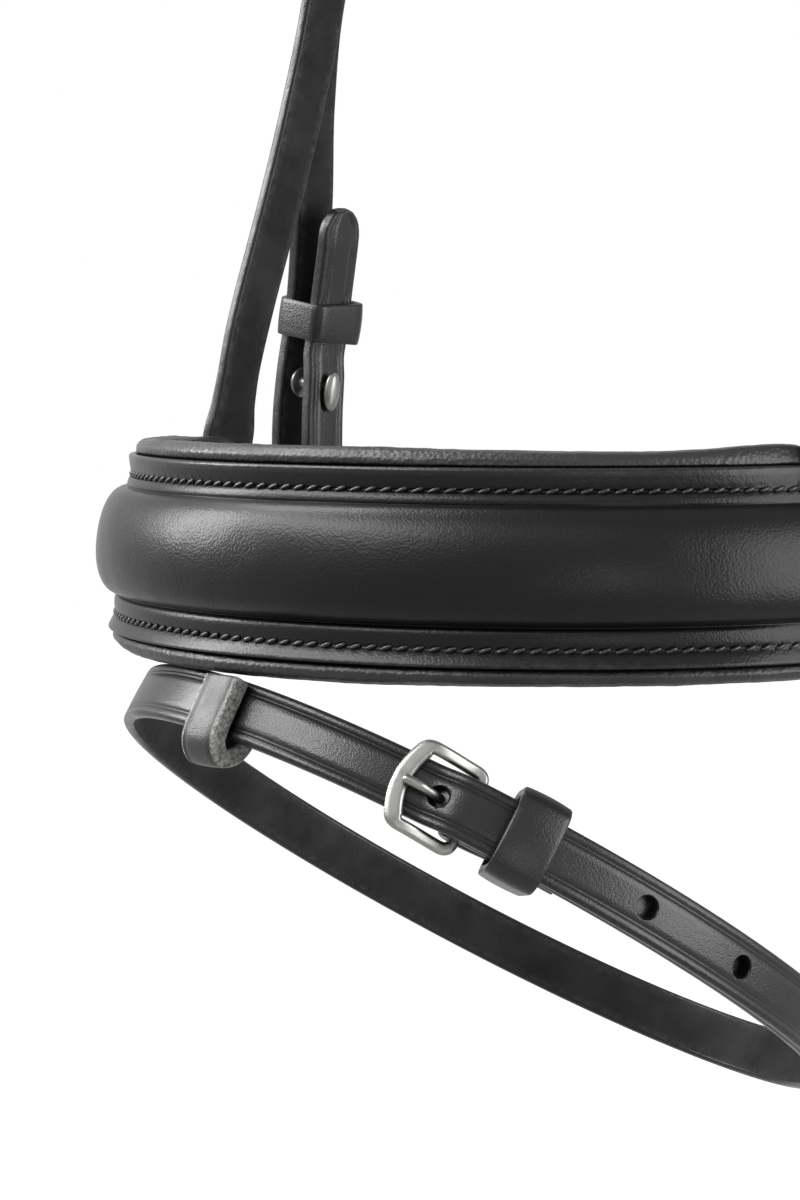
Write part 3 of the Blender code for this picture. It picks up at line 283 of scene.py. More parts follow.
# The same leather stretched over padding: the grain opens up and shows in the highlights.
stretchedBridleLeather = leatherMaterial("stretched_bridle_leather", {
    "dark": "#070708", "light": "#0e0e0f", "rubbed": "#2a2a2b", "patch": 42.0, "scuff": 1.8,
    "grain": 0.60, "grainDepth": 0.046, "grainGloss": 0.06, "swell": 7.0, "swellDepth": 0.07,
    "roughness": 0.30, "roughnessSpread": 0.04, "specular": 0.16})
# Tab leather: a paler, shinier copy of the bridle leather, grey and satiny. Its paler colour is a painted
# sheen for the light on the tab's face.
tabLeatherPaintedSheen = leatherMaterial("tab_leather_painted_sheen", {
    "dark": "#111112", "light": "#1b1b1c", "rubbed": "#2c2c2d", "patch": 9.0, "scuff": 1.2,
    "grain": 0.38, "grainDepth": 0.050, "grainGloss": 0.08, "swell": 3.4, "swellDepth": 0.08,
    "roughness": 0.40, "roughnessSpread": 0.06, "specular": 0.37})
# Soft chrome tanned lining leather: a rounder, duller grain that catches the light.
softLiningLeather = leatherMaterial("soft_lining_leather", {
    "dark": "#111112", "light": "#1c1c1d", "rubbed": "#2c2c2d", "patch": 18.0, "scuff": 1.4,
    "grain": 1.00, "grainDepth": 0.14, "grainGloss": 0.12, "swell": 3.6, "swellDepth": 0.12,
    "roughness": 0.38, "roughnessSpread": 0.06, "specular": 0.30})
# Cut edge, dyed, waxed and rubbed: the smoothest and darkest part of a strap.
burnishedEdge = leatherMaterial("burnished_cut_edge", {
    "dark": "#0a0a0b", "light": "#131314", "rubbed": "#262627", "patch": 12.0, "scuff": 0.8,
    "grain": 0.5, "grainDepth": 0.03, "grainGloss": 0.05, "swell": 2.4, "swellDepth": 0.12,
    "roughness": 0.30, "roughnessSpread": 0.06, "specular": 0.20})
# Flesh side, dyed and dressed: matt, a little paler and cloudy.
dressedFleshSide = leatherMaterial("dressed_flesh_side", {
    "dark": "#131314", "light": "#1f1f20", "rubbed": "#404041", "patch": 14.0, "scuff": 2.0,
    "grain": 0.6, "grainDepth": 0.06, "grainGloss": 0.08, "swell": 4.0, "swellDepth": 0.10,
    "roughness": 0.60, "roughnessSpread": 0.06, "specular": 0.12})
# Cut edge left as the knife made it: fibrous, matt and paler than the dyed face.
rawCutEdge = leatherMaterial("raw_cut_edge", {
    "dark": "#3a3a39", "light": "#70706d", "rubbed": "#8c8c89", "patch": 1.4, "scuff": 0.7,
    "grain": 0.45, "grainDepth": 0.26, "grainGloss": 0.05, "swell": 1.6, "swellDepth": 0.3,
    "roughness": 0.72, "roughnessSpread": 0.06, "specular": 0.2})
# Waxed linen thread, pulled tight: black with small bright points.
waxedThread = leatherMaterial("waxed_linen_thread", {
    "dark": "#0e0e0f", "light": "#1a1a1b", "rubbed": "#1e1e1f", "patch": 5.0, "scuff": 1.0,
    "grain": 0.35, "grainDepth": 0.03, "grainGloss": 0.05, "swell": 1.2, "swellDepth": 0.04,
    "roughness": 0.28, "roughnessSpread": 0.05, "specular": 0.34})
# Shadow inside an awl hole: matt and almost black.
awlHoleShadow = leatherMaterial("awl_hole_shadow", {
    "dark": "#040404", "light": "#070707", "rubbed": "#070707", "patch": 5.0, "scuff": 1.0,
    "grain": 0.4, "grainDepth": 0.02, "grainGloss": 0.02, "swell": 1.2, "swellDepth": 0.02,
    "roughness": 0.85, "roughnessSpread": 0.04, "specular": 0.1})
# Cast stainless steel, brushed with a fine belt: grey, satin, brighter along the rounded edges.
brushedStainless = metalMaterial("brushed_stainless_steel", {
    "dark": "#6c6c6a", "light": "#7e7e7c", "stroke": 3.2, "scratch": 0.16, "cloud": 5.0,
    "roughness": 0.36, "depth": 0.006})
strapMaterials = [waxedBridleLeather, burnishedEdge, dressedFleshSide]
padMaterials = [softLiningLeather]
metalMaterials = [brushedStainless]
print("materials made")


# Meshes
sharpFrom = 48  # degrees between two faces of a cut


def meshFromRings(name, rings, materials, slots=None, wears=None, closed=False):
    # Rings of points, joined in turn. Slots give each side's material, wears its rubbing.
    build = bmesh.new()
    mapLayer = build.loops.layers.uv.new("pieceMap")
    rows = [[build.verts.new(point) for point in ring] for ring in rings]
    count = len(rows[0])
    alongs = [0.0]
    for row, after in zip(rows, rows[1:] + rows[:1]):
        alongs.append(alongs[-1] + (after[0].co - row[0].co).length)
    rounds = [0.0]
    widest = max(rows, key=lambda row: (row[0].co - row[count // 2].co).length)
    for i in range(count):
        rounds.append(rounds[-1] + (widest[(i + 1) % count].co - widest[i].co).length)
    for r, (row, after) in enumerate(zip(rows, rows[1:] + (rows[:1] if closed else []))):
        for i in range(count):
            j = (i + 1) % count
            face = build.faces.new((row[i], row[j], after[j], after[i]))
            face.material_index = slots[i] if slots else 0
            for loop, (u, v) in zip(face.loops, ((r, i), (r, i + 1), (r + 1, i + 1), (r + 1, i))):
                loop[mapLayer].uv = (alongs[u], rounds[v])
    if not closed:
        for row in (rows[0], rows[-1]):
            cap = build.faces.new(row)
            cap.material_index = slots[0] if slots else 0
    bmesh.ops.recalc_face_normals(build, faces=build.faces)
    mesh = bpy.data.meshes.new(name)
    build.to_mesh(mesh)
    build.free()
    mesh.shade_smooth()
    if wears is not None:
        layer = mesh.attributes.new("wear", "FLOAT", "POINT")
        layer.data.foreach_set("value", np.tile(np.array(wears, np.float32), len(rings)))
    for finish in materials:
        mesh.materials.append(finish)
    made = bpy.data.objects.new(name, mesh)
    scene.collection.objects.link(made)
    return made


def settle(piece):
    # The evaluated mesh takes the place of the modifiers.
    view = bpy.context.evaluated_depsgraph_get()
    mesh = bpy.data.meshes.new_from_object(piece.evaluated_get(view))
    piece.modifiers.clear()
    piece.data = mesh
    mesh.name = piece.name


def cutAway(piece, cutter):
    # Takes away what the cutter covers, then shades all but the sharp edges smooth.
    cut = piece.modifiers.new("cut", "BOOLEAN")
    cut.operation, cut.solver, cut.object = "DIFFERENCE", "EXACT", cutter
    settle(piece)
    piece.data.shade_smooth()
    piece.data.set_sharp_from_angle(angle=math.radians(sharpFrom))
    bpy.data.objects.remove(cutter)


def dress(piece, body, finish, *nodes):
    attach(piece, body)
    if nodes:
        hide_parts(*nodes)


def faceRow(x, corner, look, creases, arch):
    # Across a face from one edge to the other: (across, height, rubbing), with pressed creases.
    half = [(corner, 0.0, 1.0)]
    squeeze = min(1.0, (x - corner) / ((max(creases) + 0.9) * mm)) if creases else 1.0
    for inset in creases:
        for shift, deep in ((-0.32, 0.0), (-0.12, 0.7), (0.0, 1.0), (0.12, 0.7), (0.32, 0.0)):
            half.append((corner + max(0.0, (inset + shift) * mm - corner) * squeeze,
                         -look["creaseDeep"] * mm * deep * squeeze, 0.35 if deep == 0.0 else 0.0))
    inner = x - half[-1][0]
    row = [(x - inset, deep, rub) for inset, deep, rub in half]
    row += [(inner * share, 0.0, 0.0) for share in (0.66, 0.33, 0.0, -0.33, -0.66)]
    row += [(inset - x, deep, rub) for inset, deep, rub in reversed(half)]
    return [(across, deep + arch * mm * (0.7 - (across / x) ** 2), rub) for across, deep, rub in row]


def strapSection(width, thick, look):
    # Once round a strap: inner face, edge, outer face with its creases, edge. Metres.
    x, y = width / 2, thick / 2
    corner = min(look["edgeRound"] * mm, y * 0.92, x * 0.7)
    back = faceRow(x, corner, look, (), look.get("backArch", 0.0))
    points = [(across, -y - deep, 2, rub * look.get("backRub", 0.5)) for across, deep, rub in reversed(back)]
    inner = len(points) - 1
    turns = [(math.sin(angle), math.cos(angle))
             for angle in (math.radians(18 * step) for step in range(1, 5))]
    edge = [(x - corner + corner * s, -y + corner - corner * c, 1, 0.35) for s, c in turns]
    edge += [(x, corner - y, 1, 0.3), (x, y - corner, 1, 0.5)]
    edge += [(x - corner + corner * c, y - corner + corner * s, 1, 0.9) for s, c in turns]
    points += edge
    face = faceRow(x, corner, look, look["creases"], look["arch"])
    points += [(across, y + deep, 0, rub) for across, deep, rub in face]
    points += [(-across, depth, slot, rub) for across, depth, slot, rub in reversed(edge)]
    # Sides in turn: the inner face, an edge, the outer face, the other edge.
    edgeSides = len(edge) + 1
    slots = [2] * inner + [1] * edgeSides + [0] * (len(face) - 1) + [1] * edgeSides
    return [(a, d) for a, d, _, _ in points], slots, [r for _, _, _, r in points]


def strapPiece(name, line, stations, thick, look):
    # Stations are (along, height, width). Both ends are rounded over in the last fraction of a millimetre.
    rows = smoothRows(stations, look["step"] * mm)
    fade = look["edgeRound"] * mm
    extra = []
    for end, inner in ((rows[0], rows[1]), (rows[-1], rows[-2])):
        reach = min(1.0, fade / max(1e-6, math.dist(end[:2], inner[:2])))
        extra.append([tuple(a + (b - a) * share * reach for a, b in zip(end, inner))
                      for share in (0.25, 0.6)])
    rows = [rows[0], *extra[0], *rows[1:-1], *reversed(extra[1]), rows[-1]]
    travelled = [0.0]
    for one, two in zip(rows, rows[1:]):
        travelled.append(travelled[-1] + math.hypot(two[0] - one[0], two[1] - one[1]))
    rings, slots, wears = [], None, None
    for i, (at, height, width) in enumerate(rows):
        before, after = neighbours(rows, i)
        run, rise = after[0] - before[0], after[1] - before[1]
        size = max(math.hypot(run, rise), 1e-9)
        turnRun, turnRise = -rise / size, run / size
        left = min(travelled[i], travelled[-1] - travelled[i]) / fade
        thin = 0.45 + 0.55 * roundOff(left)
        point, travel, sideways, outward = line.frameAt(at)
        section, slots, wears = strapSection(width, thick * thin, look)
        rings.append([point + sideways * across + travel * (depth * turnRun)
                      + outward * (height + depth * turnRise) for across, depth in section])
    return meshFromRings(name, rings, strapMaterials, slots, wears)


def punchHoles(piece, line, places, face, look, rise=None):
    # Round holes with a softened lip. The face is the outer surface, the rise its climb along the strap.
    build = bmesh.new()
    sides = 22
    radius = look["hole"] * mm / 2
    for at in places:
        rows = []
        for depth, lip in ((-look["through"], 0.0), (-0.45, 0.0), (-0.18, 0.05), (-0.02, 0.18), (0.5, 0.6)):
            level, reach = face + depth * mm, radius + lip * mm
            row = []
            for i in range(sides):
                along = at + reach * math.cos(math.tau * i / sides)
                height = level + (rise(along) if rise else 0.0)
                row.append(build.verts.new(line.place(along, reach * math.sin(math.tau * i / sides), height)))
            rows.append(row)
        for row, after in zip(rows, rows[1:]):
            for i in range(sides):
                build.faces.new((row[i], row[(i + 1) % sides], after[(i + 1) % sides], after[i]))
        build.faces.new(rows[0])
        build.faces.new(rows[-1])
    bmesh.ops.recalc_face_normals(build, faces=build.faces)
    for side in build.faces:
        side.material_index = 1
    mesh = bpy.data.meshes.new("punch")
    build.to_mesh(mesh)
    build.free()
    for finish in piece.data.materials:
        mesh.materials.append(finish)
    cutter = bpy.data.objects.new("punch", mesh)
    scene.collection.objects.link(cutter)
    cutAway(piece, cutter)


filling = {"frames": 20, "stiffness": 25.0, "bending": 2.0}


def softPad(name, rings, materials, look, pinned, slots=None, wears=None):
    # Cloth blows the padding up a little, held at its seams, then one subdivision rounds it.
    piece = meshFromRings(name, rings, materials, slots, wears)
    start = np.zeros(len(piece.data.vertices) * 3)
    piece.data.vertices.foreach_get("co", start)
    group = piece.vertex_groups.new(name="seam")
    for index, hold in enumerate(pinned):
        group.add([index], hold, "REPLACE")
    cloth = piece.modifiers.new("filling", "CLOTH")
    cloth.settings.use_pressure = True
    cloth.settings.uniform_pressure_force = look["pressure"]
    cloth.settings.effector_weights.gravity = 0.0
    cloth.settings.vertex_group_mass = "seam"
    cloth.settings.tension_stiffness = filling["stiffness"]
    cloth.settings.compression_stiffness = filling["stiffness"]
    cloth.settings.bending_stiffness = filling["bending"]
    cloth.point_cache.frame_start, cloth.point_cache.frame_end = 1, filling["frames"]
    for step in range(1, filling["frames"] + 1):
        scene.frame_set(step)
    view = bpy.context.evaluated_depsgraph_get()
    blown = piece.evaluated_get(view).to_mesh()
    end = np.zeros(len(blown.vertices) * 3)
    blown.vertices.foreach_get("co", end)
    piece.evaluated_get(view).to_mesh_clear()
    move = (end - start).reshape(-1, 3)
    size = np.linalg.norm(move, axis=1, keepdims=True)
    move *= np.minimum(1.0, look["cap"] * mm / np.maximum(size, 1e-9))
    piece.modifiers.clear()
    piece.vertex_groups.clear()
    scene.frame_set(1)
    piece.data.vertices.foreach_set("co", (start.reshape(-1, 3) + move).ravel())
    piece.data.update()
    print(name, "filled: moves up to", round(float(size.max() / mm), 2), "mm")
    smooth = piece.modifiers.new("round", "SUBSURF")
    smooth.levels = smooth.render_levels = 1
    settle(piece)
    return piece


# Buckles and keepers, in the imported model's sizes
fitting = {"gap": 0.3, "keeperRoom": 1.2, "keeperThick": 2.2, "keeperLength": 10.6, "bar": 1.1,
           "tongue": 1.05, "frameLength": 13.8, "frameArch": 1.6, "sideArm": 1.4, "outerBar": 1.9,
           "halfThick": 1.0, "frameRoom": 0.9, "corner": 2.3, "bevel": 0.6, "notch": 0.4, "slot": 9.8,
           "chape": 24.0, "holeFromBar": 7.0, "foldEnd": 3.0, "riseFrom": 10.0, "riseOver": 9.0}
gap = fitting["gap"] * mm
keeperLook = {"arch": 1.35, "edge": 0.45}
holeLook = {"hole": 4.9, "through": 3.6}
# A strap's pointed end, as a share of its width
tipShare = 0.62


class closing:
    # A buckle on a line: where its bar, layers and keepers lie.
    def __init__(self, line, barAt, level, width, thick):
        self.line, self.barAt, self.level, self.width, self.thick = line, barAt, level, width, thick
        self.fold = fitting["bar"] * mm + gap
        self.barHeight = level - self.fold - thick / 2
        self.lay = thick + gap

    def chape(self):
        back = self.level - self.lay
        low = self.barHeight - self.fold - self.thick / 2
        radius = self.fold + self.thick / 2
        rows = [(self.barAt + run, height, self.width) for run, height in (
            (fitting["chape"] * mm, back), (0.0120, back), (0.0085, back - 0.0002),
            (fitting["foldEnd"] * mm, low + 0.0003))]
        for step in range(9):
            angle = -math.pi / 2 - math.pi * step / 8
            run, rise = radius * math.cos(angle), radius * math.sin(angle)
            rows.append((self.barAt + run, self.barHeight + rise, self.width))
        return rows

    def lowerStrap(self, end, spacing):
        # The fold round the bar, then the strap as far as its end.
        start = self.barAt + fitting["foldEnd"] * mm
        return self.chape() + [(at, self.level, self.width) for at in spaced(start, end, spacing)]

    def billet(self, start, tail, spacing=0.011):
        over = self.level + self.lay
        riseFrom = self.barAt - fitting["riseFrom"] * mm
        rows = [(at, self.level, self.width) for at in spaced(start, riseFrom, spacing)]
        for share in (0.22, 0.44, 0.66, 0.88):
            at = riseFrom + fitting["riseOver"] * mm * share
            rows.append((at, self.level + self.rise(at), self.width))
        full = self.barAt + tail - self.width * tipShare
        rows += [(at, over, self.width) for at in spaced(self.barAt, full, spacing)[:-1]]
        return rows + tip(self.barAt + tail, over, self.width)

    def rise(self, at):
        return self.lay * ease((at - self.barAt + fitting["riseFrom"] * mm) / (fitting["riseOver"] * mm))

    def punchTongueHole(self, piece):
        # The hole is cut blind: a thin floor of dark edge leather is left under it, a painted shade that
        # keeps the hole dark behind the tongue.
        look = {"hole": 4.3, "through": self.thick / mm - 0.3}
        place = self.barAt - fitting["holeFromBar"] * mm
        punchHoles(piece, self.line, [place], self.level + self.thick / 2, look, self.rise)

    def openSlot(self, piece):
        # The cut in the fold that lets the tongue through.
        half, wide = fitting["slot"] * mm / 2, fitting["tongue"] * mm + gap * 0.4
        ends = []
        for at, turn in ((self.barAt - half, 1), (self.barAt + half, -1)):
            for step in range(7):
                angle = math.pi / 2 + math.pi * step / 6
                ends.append((at + turn * (wide + wide * math.cos(angle)), turn * wide * math.sin(angle)))
        rings = [[self.line.place(at, across, level) for at, across in ends]
                 for level in (self.barHeight - 0.0050, self.level + 0.0022)]
        cutter = meshFromRings("slotCutter", rings, strapMaterials)
        for polygon in cutter.data.polygons:
            polygon.material_index = 1
        cutAway(piece, cutter)

    def frame(self, name):
        half = self.width / 2 + (fitting["frameRoom"] + fitting["sideArm"]) * mm
        length, corner = fitting["frameLength"] * mm, fitting["corner"] * mm
        arm, wide, deep, bar = (fitting[key] * mm for key in ("sideArm", "outerBar", "halfThick", "bar"))
        notchHalf = 2.2 * mm
        top = self.level + self.thick / 2 + gap + deep
        side = [(0.0, self.width / 2 + gap, bar, bar), (-0.0006, half - 0.0008, arm, bar),
                (-0.0017, half - 0.0001, arm, (bar + deep) / 2)]
        side += [(run, half, arm, deep) for run in spaced(-0.0030, corner - length, 0.0006)]
        # The corner turns until it meets the bow of the outer bar.
        peak, turned = -length - fitting["frameArch"] * mm, 1.4
        for _ in range(20):
            run, across = corner - length - corner * math.sin(turned), half - corner * (1 - math.cos(turned))
            turned = math.atan2(across, 2 * (run - peak))
        for step in range(1, 9):
            angle = turned * step / 8
            side.append((corner - length - corner * math.sin(angle), half - corner * (1 - math.cos(angle)),
                         arm + (wide - arm) * ease(step / 8), deep))
        run, across = side[-1][:2]
        side += [(peak + (run - peak) * share ** 2, across * share, wide, deep)
                 for share in spaced(1.0, 0.08, 0.08)[1:]]
        loop = side + [(peak, 0.0, wide, deep)] + [(s, -w, a, b) for s, w, a, b in reversed(side)]
        rows = smoothRows(loop, 0.5 * mm, closed=True)
        rings = []
        for i, (run, across, wide, deep) in enumerate(rows):
            before, after = rows[i - 1], rows[(i + 1) % len(rows)]
            direction = Vector((after[0] - before[0], after[1] - before[1])).normalized()
            rise = self.barHeight + (top - self.barHeight) * ease(-run / length)
            if run < -length and abs(across) < notchHalf:
                rise -= fitting["notch"] * mm / 2 * ease(1 - abs(across) / notchHalf)
            bevel = min(fitting["bevel"] * mm, deep * 0.586)
            octagon = [(wide, deep - bevel), (wide - bevel, deep), (bevel - wide, deep),
                       (-wide, deep - bevel), (-wide, bevel - deep), (bevel - wide, -deep),
                       (wide - bevel, -deep), (wide, bevel - deep)]
            ring = []
            for k, here in enumerate(octagon):
                # Each corner is drawn in a little, with a point either side of it.
                for other, share, size in ((octagon[k - 1], 0.24, 1.0), (here, 0.0, 0.97),
                                           (octagon[(k + 1) % 8], 0.24, 1.0)):
                    sideways, depth = ((a + (b - a) * share) * size for a, b in zip(here, other))
                    ring.append(self.line.place(self.barAt + run - direction.y * sideways,
                                                across + direction.x * sideways, rise + depth))
            rings.append(ring)
        return meshFromRings(name, rings, metalMaterials, closed=True)

    def tongue(self, name):
        radius = fitting["tongue"] * mm
        reach = fitting["bar"] * mm + gap + radius
        path = []
        for step in range(8):
            angle = math.radians(50.0 - 230.0 * step / 7)
            path.append((reach * math.cos(angle), self.barHeight + reach * math.sin(angle)))
        level, clear = self.level, self.thick / 2
        top = level + clear + gap * 2 + (fitting["halfThick"] * 2 - fitting["notch"]) * mm + radius
        end = -(fitting["frameLength"] + fitting["frameArch"] - fitting["outerBar"] * 0.3) * mm
        path += [(-0.0030, level - clear - 0.0005), (-0.0044, level - clear - 0.0001),
                 (-0.0056, level - clear + 0.0002), (-0.0066, level - clear + 0.0011),
                 (-0.0080, level + clear + 0.0002), (-0.0094, level + clear + 0.0016),
                 (-0.0112, top - 0.0003), (-0.0134, top), (end, top)]
        rows = smoothRows(path, 0.5 * mm)
        rings, sides = [], 16
        for i, (run, height) in enumerate(rows):
            before, after = neighbours(rows, i)
            size = math.hypot(after[0] - before[0], after[1] - before[1])
            turnRun, turnRise = -(after[1] - before[1]) / size, (after[0] - before[0]) / size
            left = min(math.dist(rows[i], rows[0]), math.dist(rows[i], rows[-1])) / (radius * 0.7)
            wide = radius * (0.62 + 0.38 * roundOff(left))
            ring = []
            for k in range(sides):
                out, across = wide * math.cos(math.tau * k / sides), wide * math.sin(math.tau * k / sides)
                along = self.barAt + run + out * turnRun
                ring.append(self.line.place(along, across, height + out * turnRise))
            rings.append(ring)
        return meshFromRings(name, rings, metalMaterials)

    def keeper(self, name, behindBar, low=None):
        low = self.level - self.thick / 2 - self.lay if low is None else low
        high = self.level + self.thick / 2 + self.lay
        return keeperPiece(name, self.line, self.barAt + behindBar, self.width, low, high)

    def dressFittings(self, kind, body, keeperAt, side="", keeperBody=None):
        # The buckle, its tongue and its keeper. Names end in the side where there are two.
        dress(self.frame(kind + "_buckle_frame" + side), body, "steel", kind + "_buckle" + side)
        tongue = kind + "_tongue" + side
        dress(self.tongue(kind + "_tongue_pin" + side), tongue + "_body", "steel", tongue)
        loop = self.keeper(kind + "_keeper_loop" + side, keeperAt * mm)
        dress(loop, keeperBody or body, "bridle_leather", kind + "_keeper" + side)


def tip(at, height, width, direction=1):
    radius = width * tipShare
    return [(at - direction * radius * (1 - share), height, width * math.sqrt(1 - share ** 2))
            for share in (0.0, 0.35, 0.62, 0.82, 0.95)]


def keeperPiece(name, line, centreAt, width, low, high, thin=0.0, tight=0.0, shift=0.0):
    # A closed leather loop whose face arches over the strap; its cut edges are burnished.
    thick, length = (fitting["keeperThick"] - thin) * mm, fitting["keeperLength"] * mm
    half = width / 2 + (fitting["keeperRoom"] - tight) * mm + thick / 2
    bottom, top = low - gap - thick / 2, high + gap + thick / 2
    corner = min(0.0020, (top - bottom) / 2 - 0.0002)
    path = []
    for across, height, first in ((half - corner, top - corner, 0), (corner - half, top - corner, 1),
                                  (corner - half, bottom + corner, 2), (half - corner, bottom + corner, 3)):
        path += [(across, height, math.pi / 2 * (first + step / 6)) for step in range(7)]
        if first in (0, 2):
            path += [(across * (1 - 2 * step / 7), height, math.pi / 2 * (first + 1)) for step in range(1, 7)]
    # Half the section, (along, out from the loop's middle, rubbing), from the inner face to the outer one.
    side, y, edge = length / 2, thick / 2, keeperLook["edge"] * mm
    right = [(side - edge, -y, 0.2), (side - edge * 0.3, -y + edge * 0.3, 0.3), (side, -y + edge, 0.6),
             (side, y - edge, 1.0), (side - edge * 0.3, y - edge * 0.3, 1.0), (side - edge, y, 0.8),
             (side - edge - 0.8 * mm, y + 0.08 * mm, 0.2), (0.28 * length, y + 0.17 * mm, 0.0),
             (0.14 * length, y + 0.24 * mm, 0.0)]
    section = [(edge - side, -y, 0.0), (0.0, -y, 0.0), *right, (0.0, y + 0.26 * mm, 0.0)]
    section += [(-run, depth, rub) for run, depth, rub in reversed(right[1:])]
    slots = [2] * 2 + [1] * 5 + [0] * 8 + [1] * 5
    wears = [rub for _, _, rub in section]
    rings = []
    for across, height, angle in path:
        ring = []
        for run, depth, _ in section:
            reach = corner + depth
            a, h = across + reach * math.cos(angle), height + reach * math.sin(angle)
            if math.sin(angle) > 0.0:
                h += keeperLook["arch"] * mm * max(0.0, 1 - (a / half) ** 2) * math.sin(angle)
            ring.append(line.place(centreAt + run, a + shift * mm, h))
        rings.append(ring)
    return meshFromRings(name, rings, strapMaterials, slots, wears, closed=True)


# Stitches: rows are gathered for each body and sewn in one go by a node tree.
thread = {"pitch": 3.5, "length": 3.1, "thick": 1.0, "slant": 22.0, "hole": 1.0, "sampling": 1.5}
seams = {}


def sew(body, points, facings):
    seams.setdefault(body, []).append((points, facings))


def sewOn(body, line, start, end, across, height):
    # Along a line. The place across it and the height are numbers, or functions of the length along.
    rows = spaced(start, end, thread["sampling"] * mm)
    places = [line.place(at, across(at) if callable(across) else across,
                         height(at) if callable(height) else height) for at in rows]
    sew(body, places, [line.frameAt(at)[3] for at in rows])


def sewBothEdges(body, line, start, end, across, height):
    for side in (-1, 1):
        sewOn(body, line, start, end, side * across, height)


def stitchTree():
    tree = bpy.data.node_groups.new("saddle_stitches", "GeometryNodeTree")
    face = tree.interface
    face.new_socket("Geometry", in_out="OUTPUT", socket_type="NodeSocketGeometry")
    face.new_socket("Seam", in_out="INPUT", socket_type="NodeSocketGeometry")
    for label, value in (("Pitch", 0.0035), ("Stitch Length", 0.0026), ("Thread Thickness", 0.0008),
                         ("Slant", 0.2), ("Awl Hole", 0.0006)):
        face.new_socket(label, in_out="INPUT", socket_type="NodeSocketFloat").default_value = value
    for label in ("Thread", "Hole"):
        face.new_socket(label, in_out="INPUT", socket_type="NodeSocketMaterial")
    start = addNode(tree, "NodeGroupInput").outputs
    curve = addNode(tree, "GeometryNodeMeshToCurve", {}, {"Mesh": start["Seam"]})
    facing = addNode(tree, "GeometryNodeInputNamedAttribute", {"Name": "facing"}, data_type="FLOAT_VECTOR")
    parts = []
    for shift in (0.0, 0.5):
        trim = addNode(tree, "GeometryNodeTrimCurve", {}, {"Curve": curve.outputs["Curve"]}, mode="LENGTH")
        away = addNode(tree, "ShaderNodeMath", {1: shift}, {0: start["Pitch"]}, operation="MULTIPLY")
        tree.links.new(away.outputs[0], trim.inputs[4])
        trim.inputs[5].default_value = 100.0
        steps = addNode(tree, "GeometryNodeResampleCurve", {},
                        {"Curve": trim.outputs["Curve"], "Length": start["Pitch"]}, mode="LENGTH")
        way = addNode(tree, "GeometryNodeInputTangent")
        turn = addNode(tree, "FunctionNodeAlignRotationToVector", {}, {"Vector": facing.outputs["Attribute"]},
                       axis="Z")
        turn = addNode(tree, "FunctionNodeAlignRotationToVector", {},
                       {"Rotation": turn.outputs["Rotation"], "Vector": way.outputs["Tangent"]},
                       axis="X", pivot_axis="Z")
        ball = addNode(tree, "GeometryNodeMeshUVSphere", {"Segments": 8, "Rings": 6, "Radius": 0.5})
        if shift == 0.0:
            lean = addNode(tree, "ShaderNodeCombineXYZ", {}, {"Z": start["Slant"]})
            lean = addNode(tree, "FunctionNodeEulerToRotation", {}, {"Euler": lean.outputs["Vector"]})
            turn = addNode(tree, "FunctionNodeRotateRotation", {},
                           {"Rotation": turn.outputs["Rotation"], "Rotate By": lean.outputs["Rotation"]},
                           rotation_space="LOCAL")
            size = addNode(tree, "ShaderNodeCombineXYZ", {},
                           {"X": start["Stitch Length"], "Y": start["Thread Thickness"],
                            "Z": start["Thread Thickness"]})
            finish = start["Thread"]
        else:
            # The second row: flat near-black discs between the stitches, a painted shadow inside each awl
            # hole.
            size = addNode(tree, "ShaderNodeCombineXYZ", {"Z": 0.0003},
                           {"X": start["Awl Hole"], "Y": start["Awl Hole"]})
            finish = start["Hole"]
        sewn = addNode(tree, "GeometryNodeInstanceOnPoints", {},
                       {"Points": steps.outputs["Curve"], "Instance": ball.outputs["Mesh"],
                        "Rotation": turn.outputs["Rotation"], "Scale": size.outputs["Vector"]})
        real = addNode(tree, "GeometryNodeRealizeInstances", {}, {"Geometry": sewn.outputs["Instances"]})
        painted = addNode(tree, "GeometryNodeSetMaterial", {},
                          {"Geometry": real.outputs["Geometry"], "Material": finish})
        parts.append(painted.outputs["Geometry"])
    joined = addNode(tree, "GeometryNodeJoinGeometry")
    for part in parts:
        tree.links.new(part, joined.inputs["Geometry"])
    smooth = addNode(tree, "GeometryNodeSetShadeSmooth", {}, {"Geometry": joined.outputs["Geometry"]})
    addNode(tree, "NodeGroupOutput", {}, {"Geometry": smooth.outputs["Geometry"]})
    return tree


def sewAll():
    tree = stitchTree()
    sockets = {item.name: item.identifier for item in tree.interface.items_tree if item.in_out == "INPUT"}
    values = {"Pitch": thread["pitch"] * mm, "Stitch Length": thread["length"] * mm,
              "Thread Thickness": thread["thick"] * mm, "Slant": math.radians(thread["slant"]),
              "Awl Hole": thread["hole"] * mm, "Thread": waxedThread, "Hole": awlHoleShadow}
    for body, rows in seams.items():
        points, edges, facings = [], [], []
        for places, ways in rows:
            first = len(points)
            points += places
            facings += [tuple(way) for way in ways]
            edges += [(first + i, first + i + 1) for i in range(len(places) - 1)]
        mesh = bpy.data.meshes.new("stitches_" + body)
        mesh.from_pydata(points, edges, [])
        layer = mesh.attributes.new("facing", "FLOAT_VECTOR", "POINT")
        layer.data.foreach_set("vector", np.array(facings, np.float32).ravel())
        piece = bpy.data.objects.new("stitches_" + body, mesh)
        sewing = piece.modifiers.new("sewing", "NODES")
        sewing.node_group = tree
        for label, value in values.items():
            sewing[sockets[label]] = value
        scene.collection.objects.link(piece)
        settle(piece)
        dress(piece, body, "bridle_leather")
        print("sewn", body, len(piece.data.polygons), "faces")


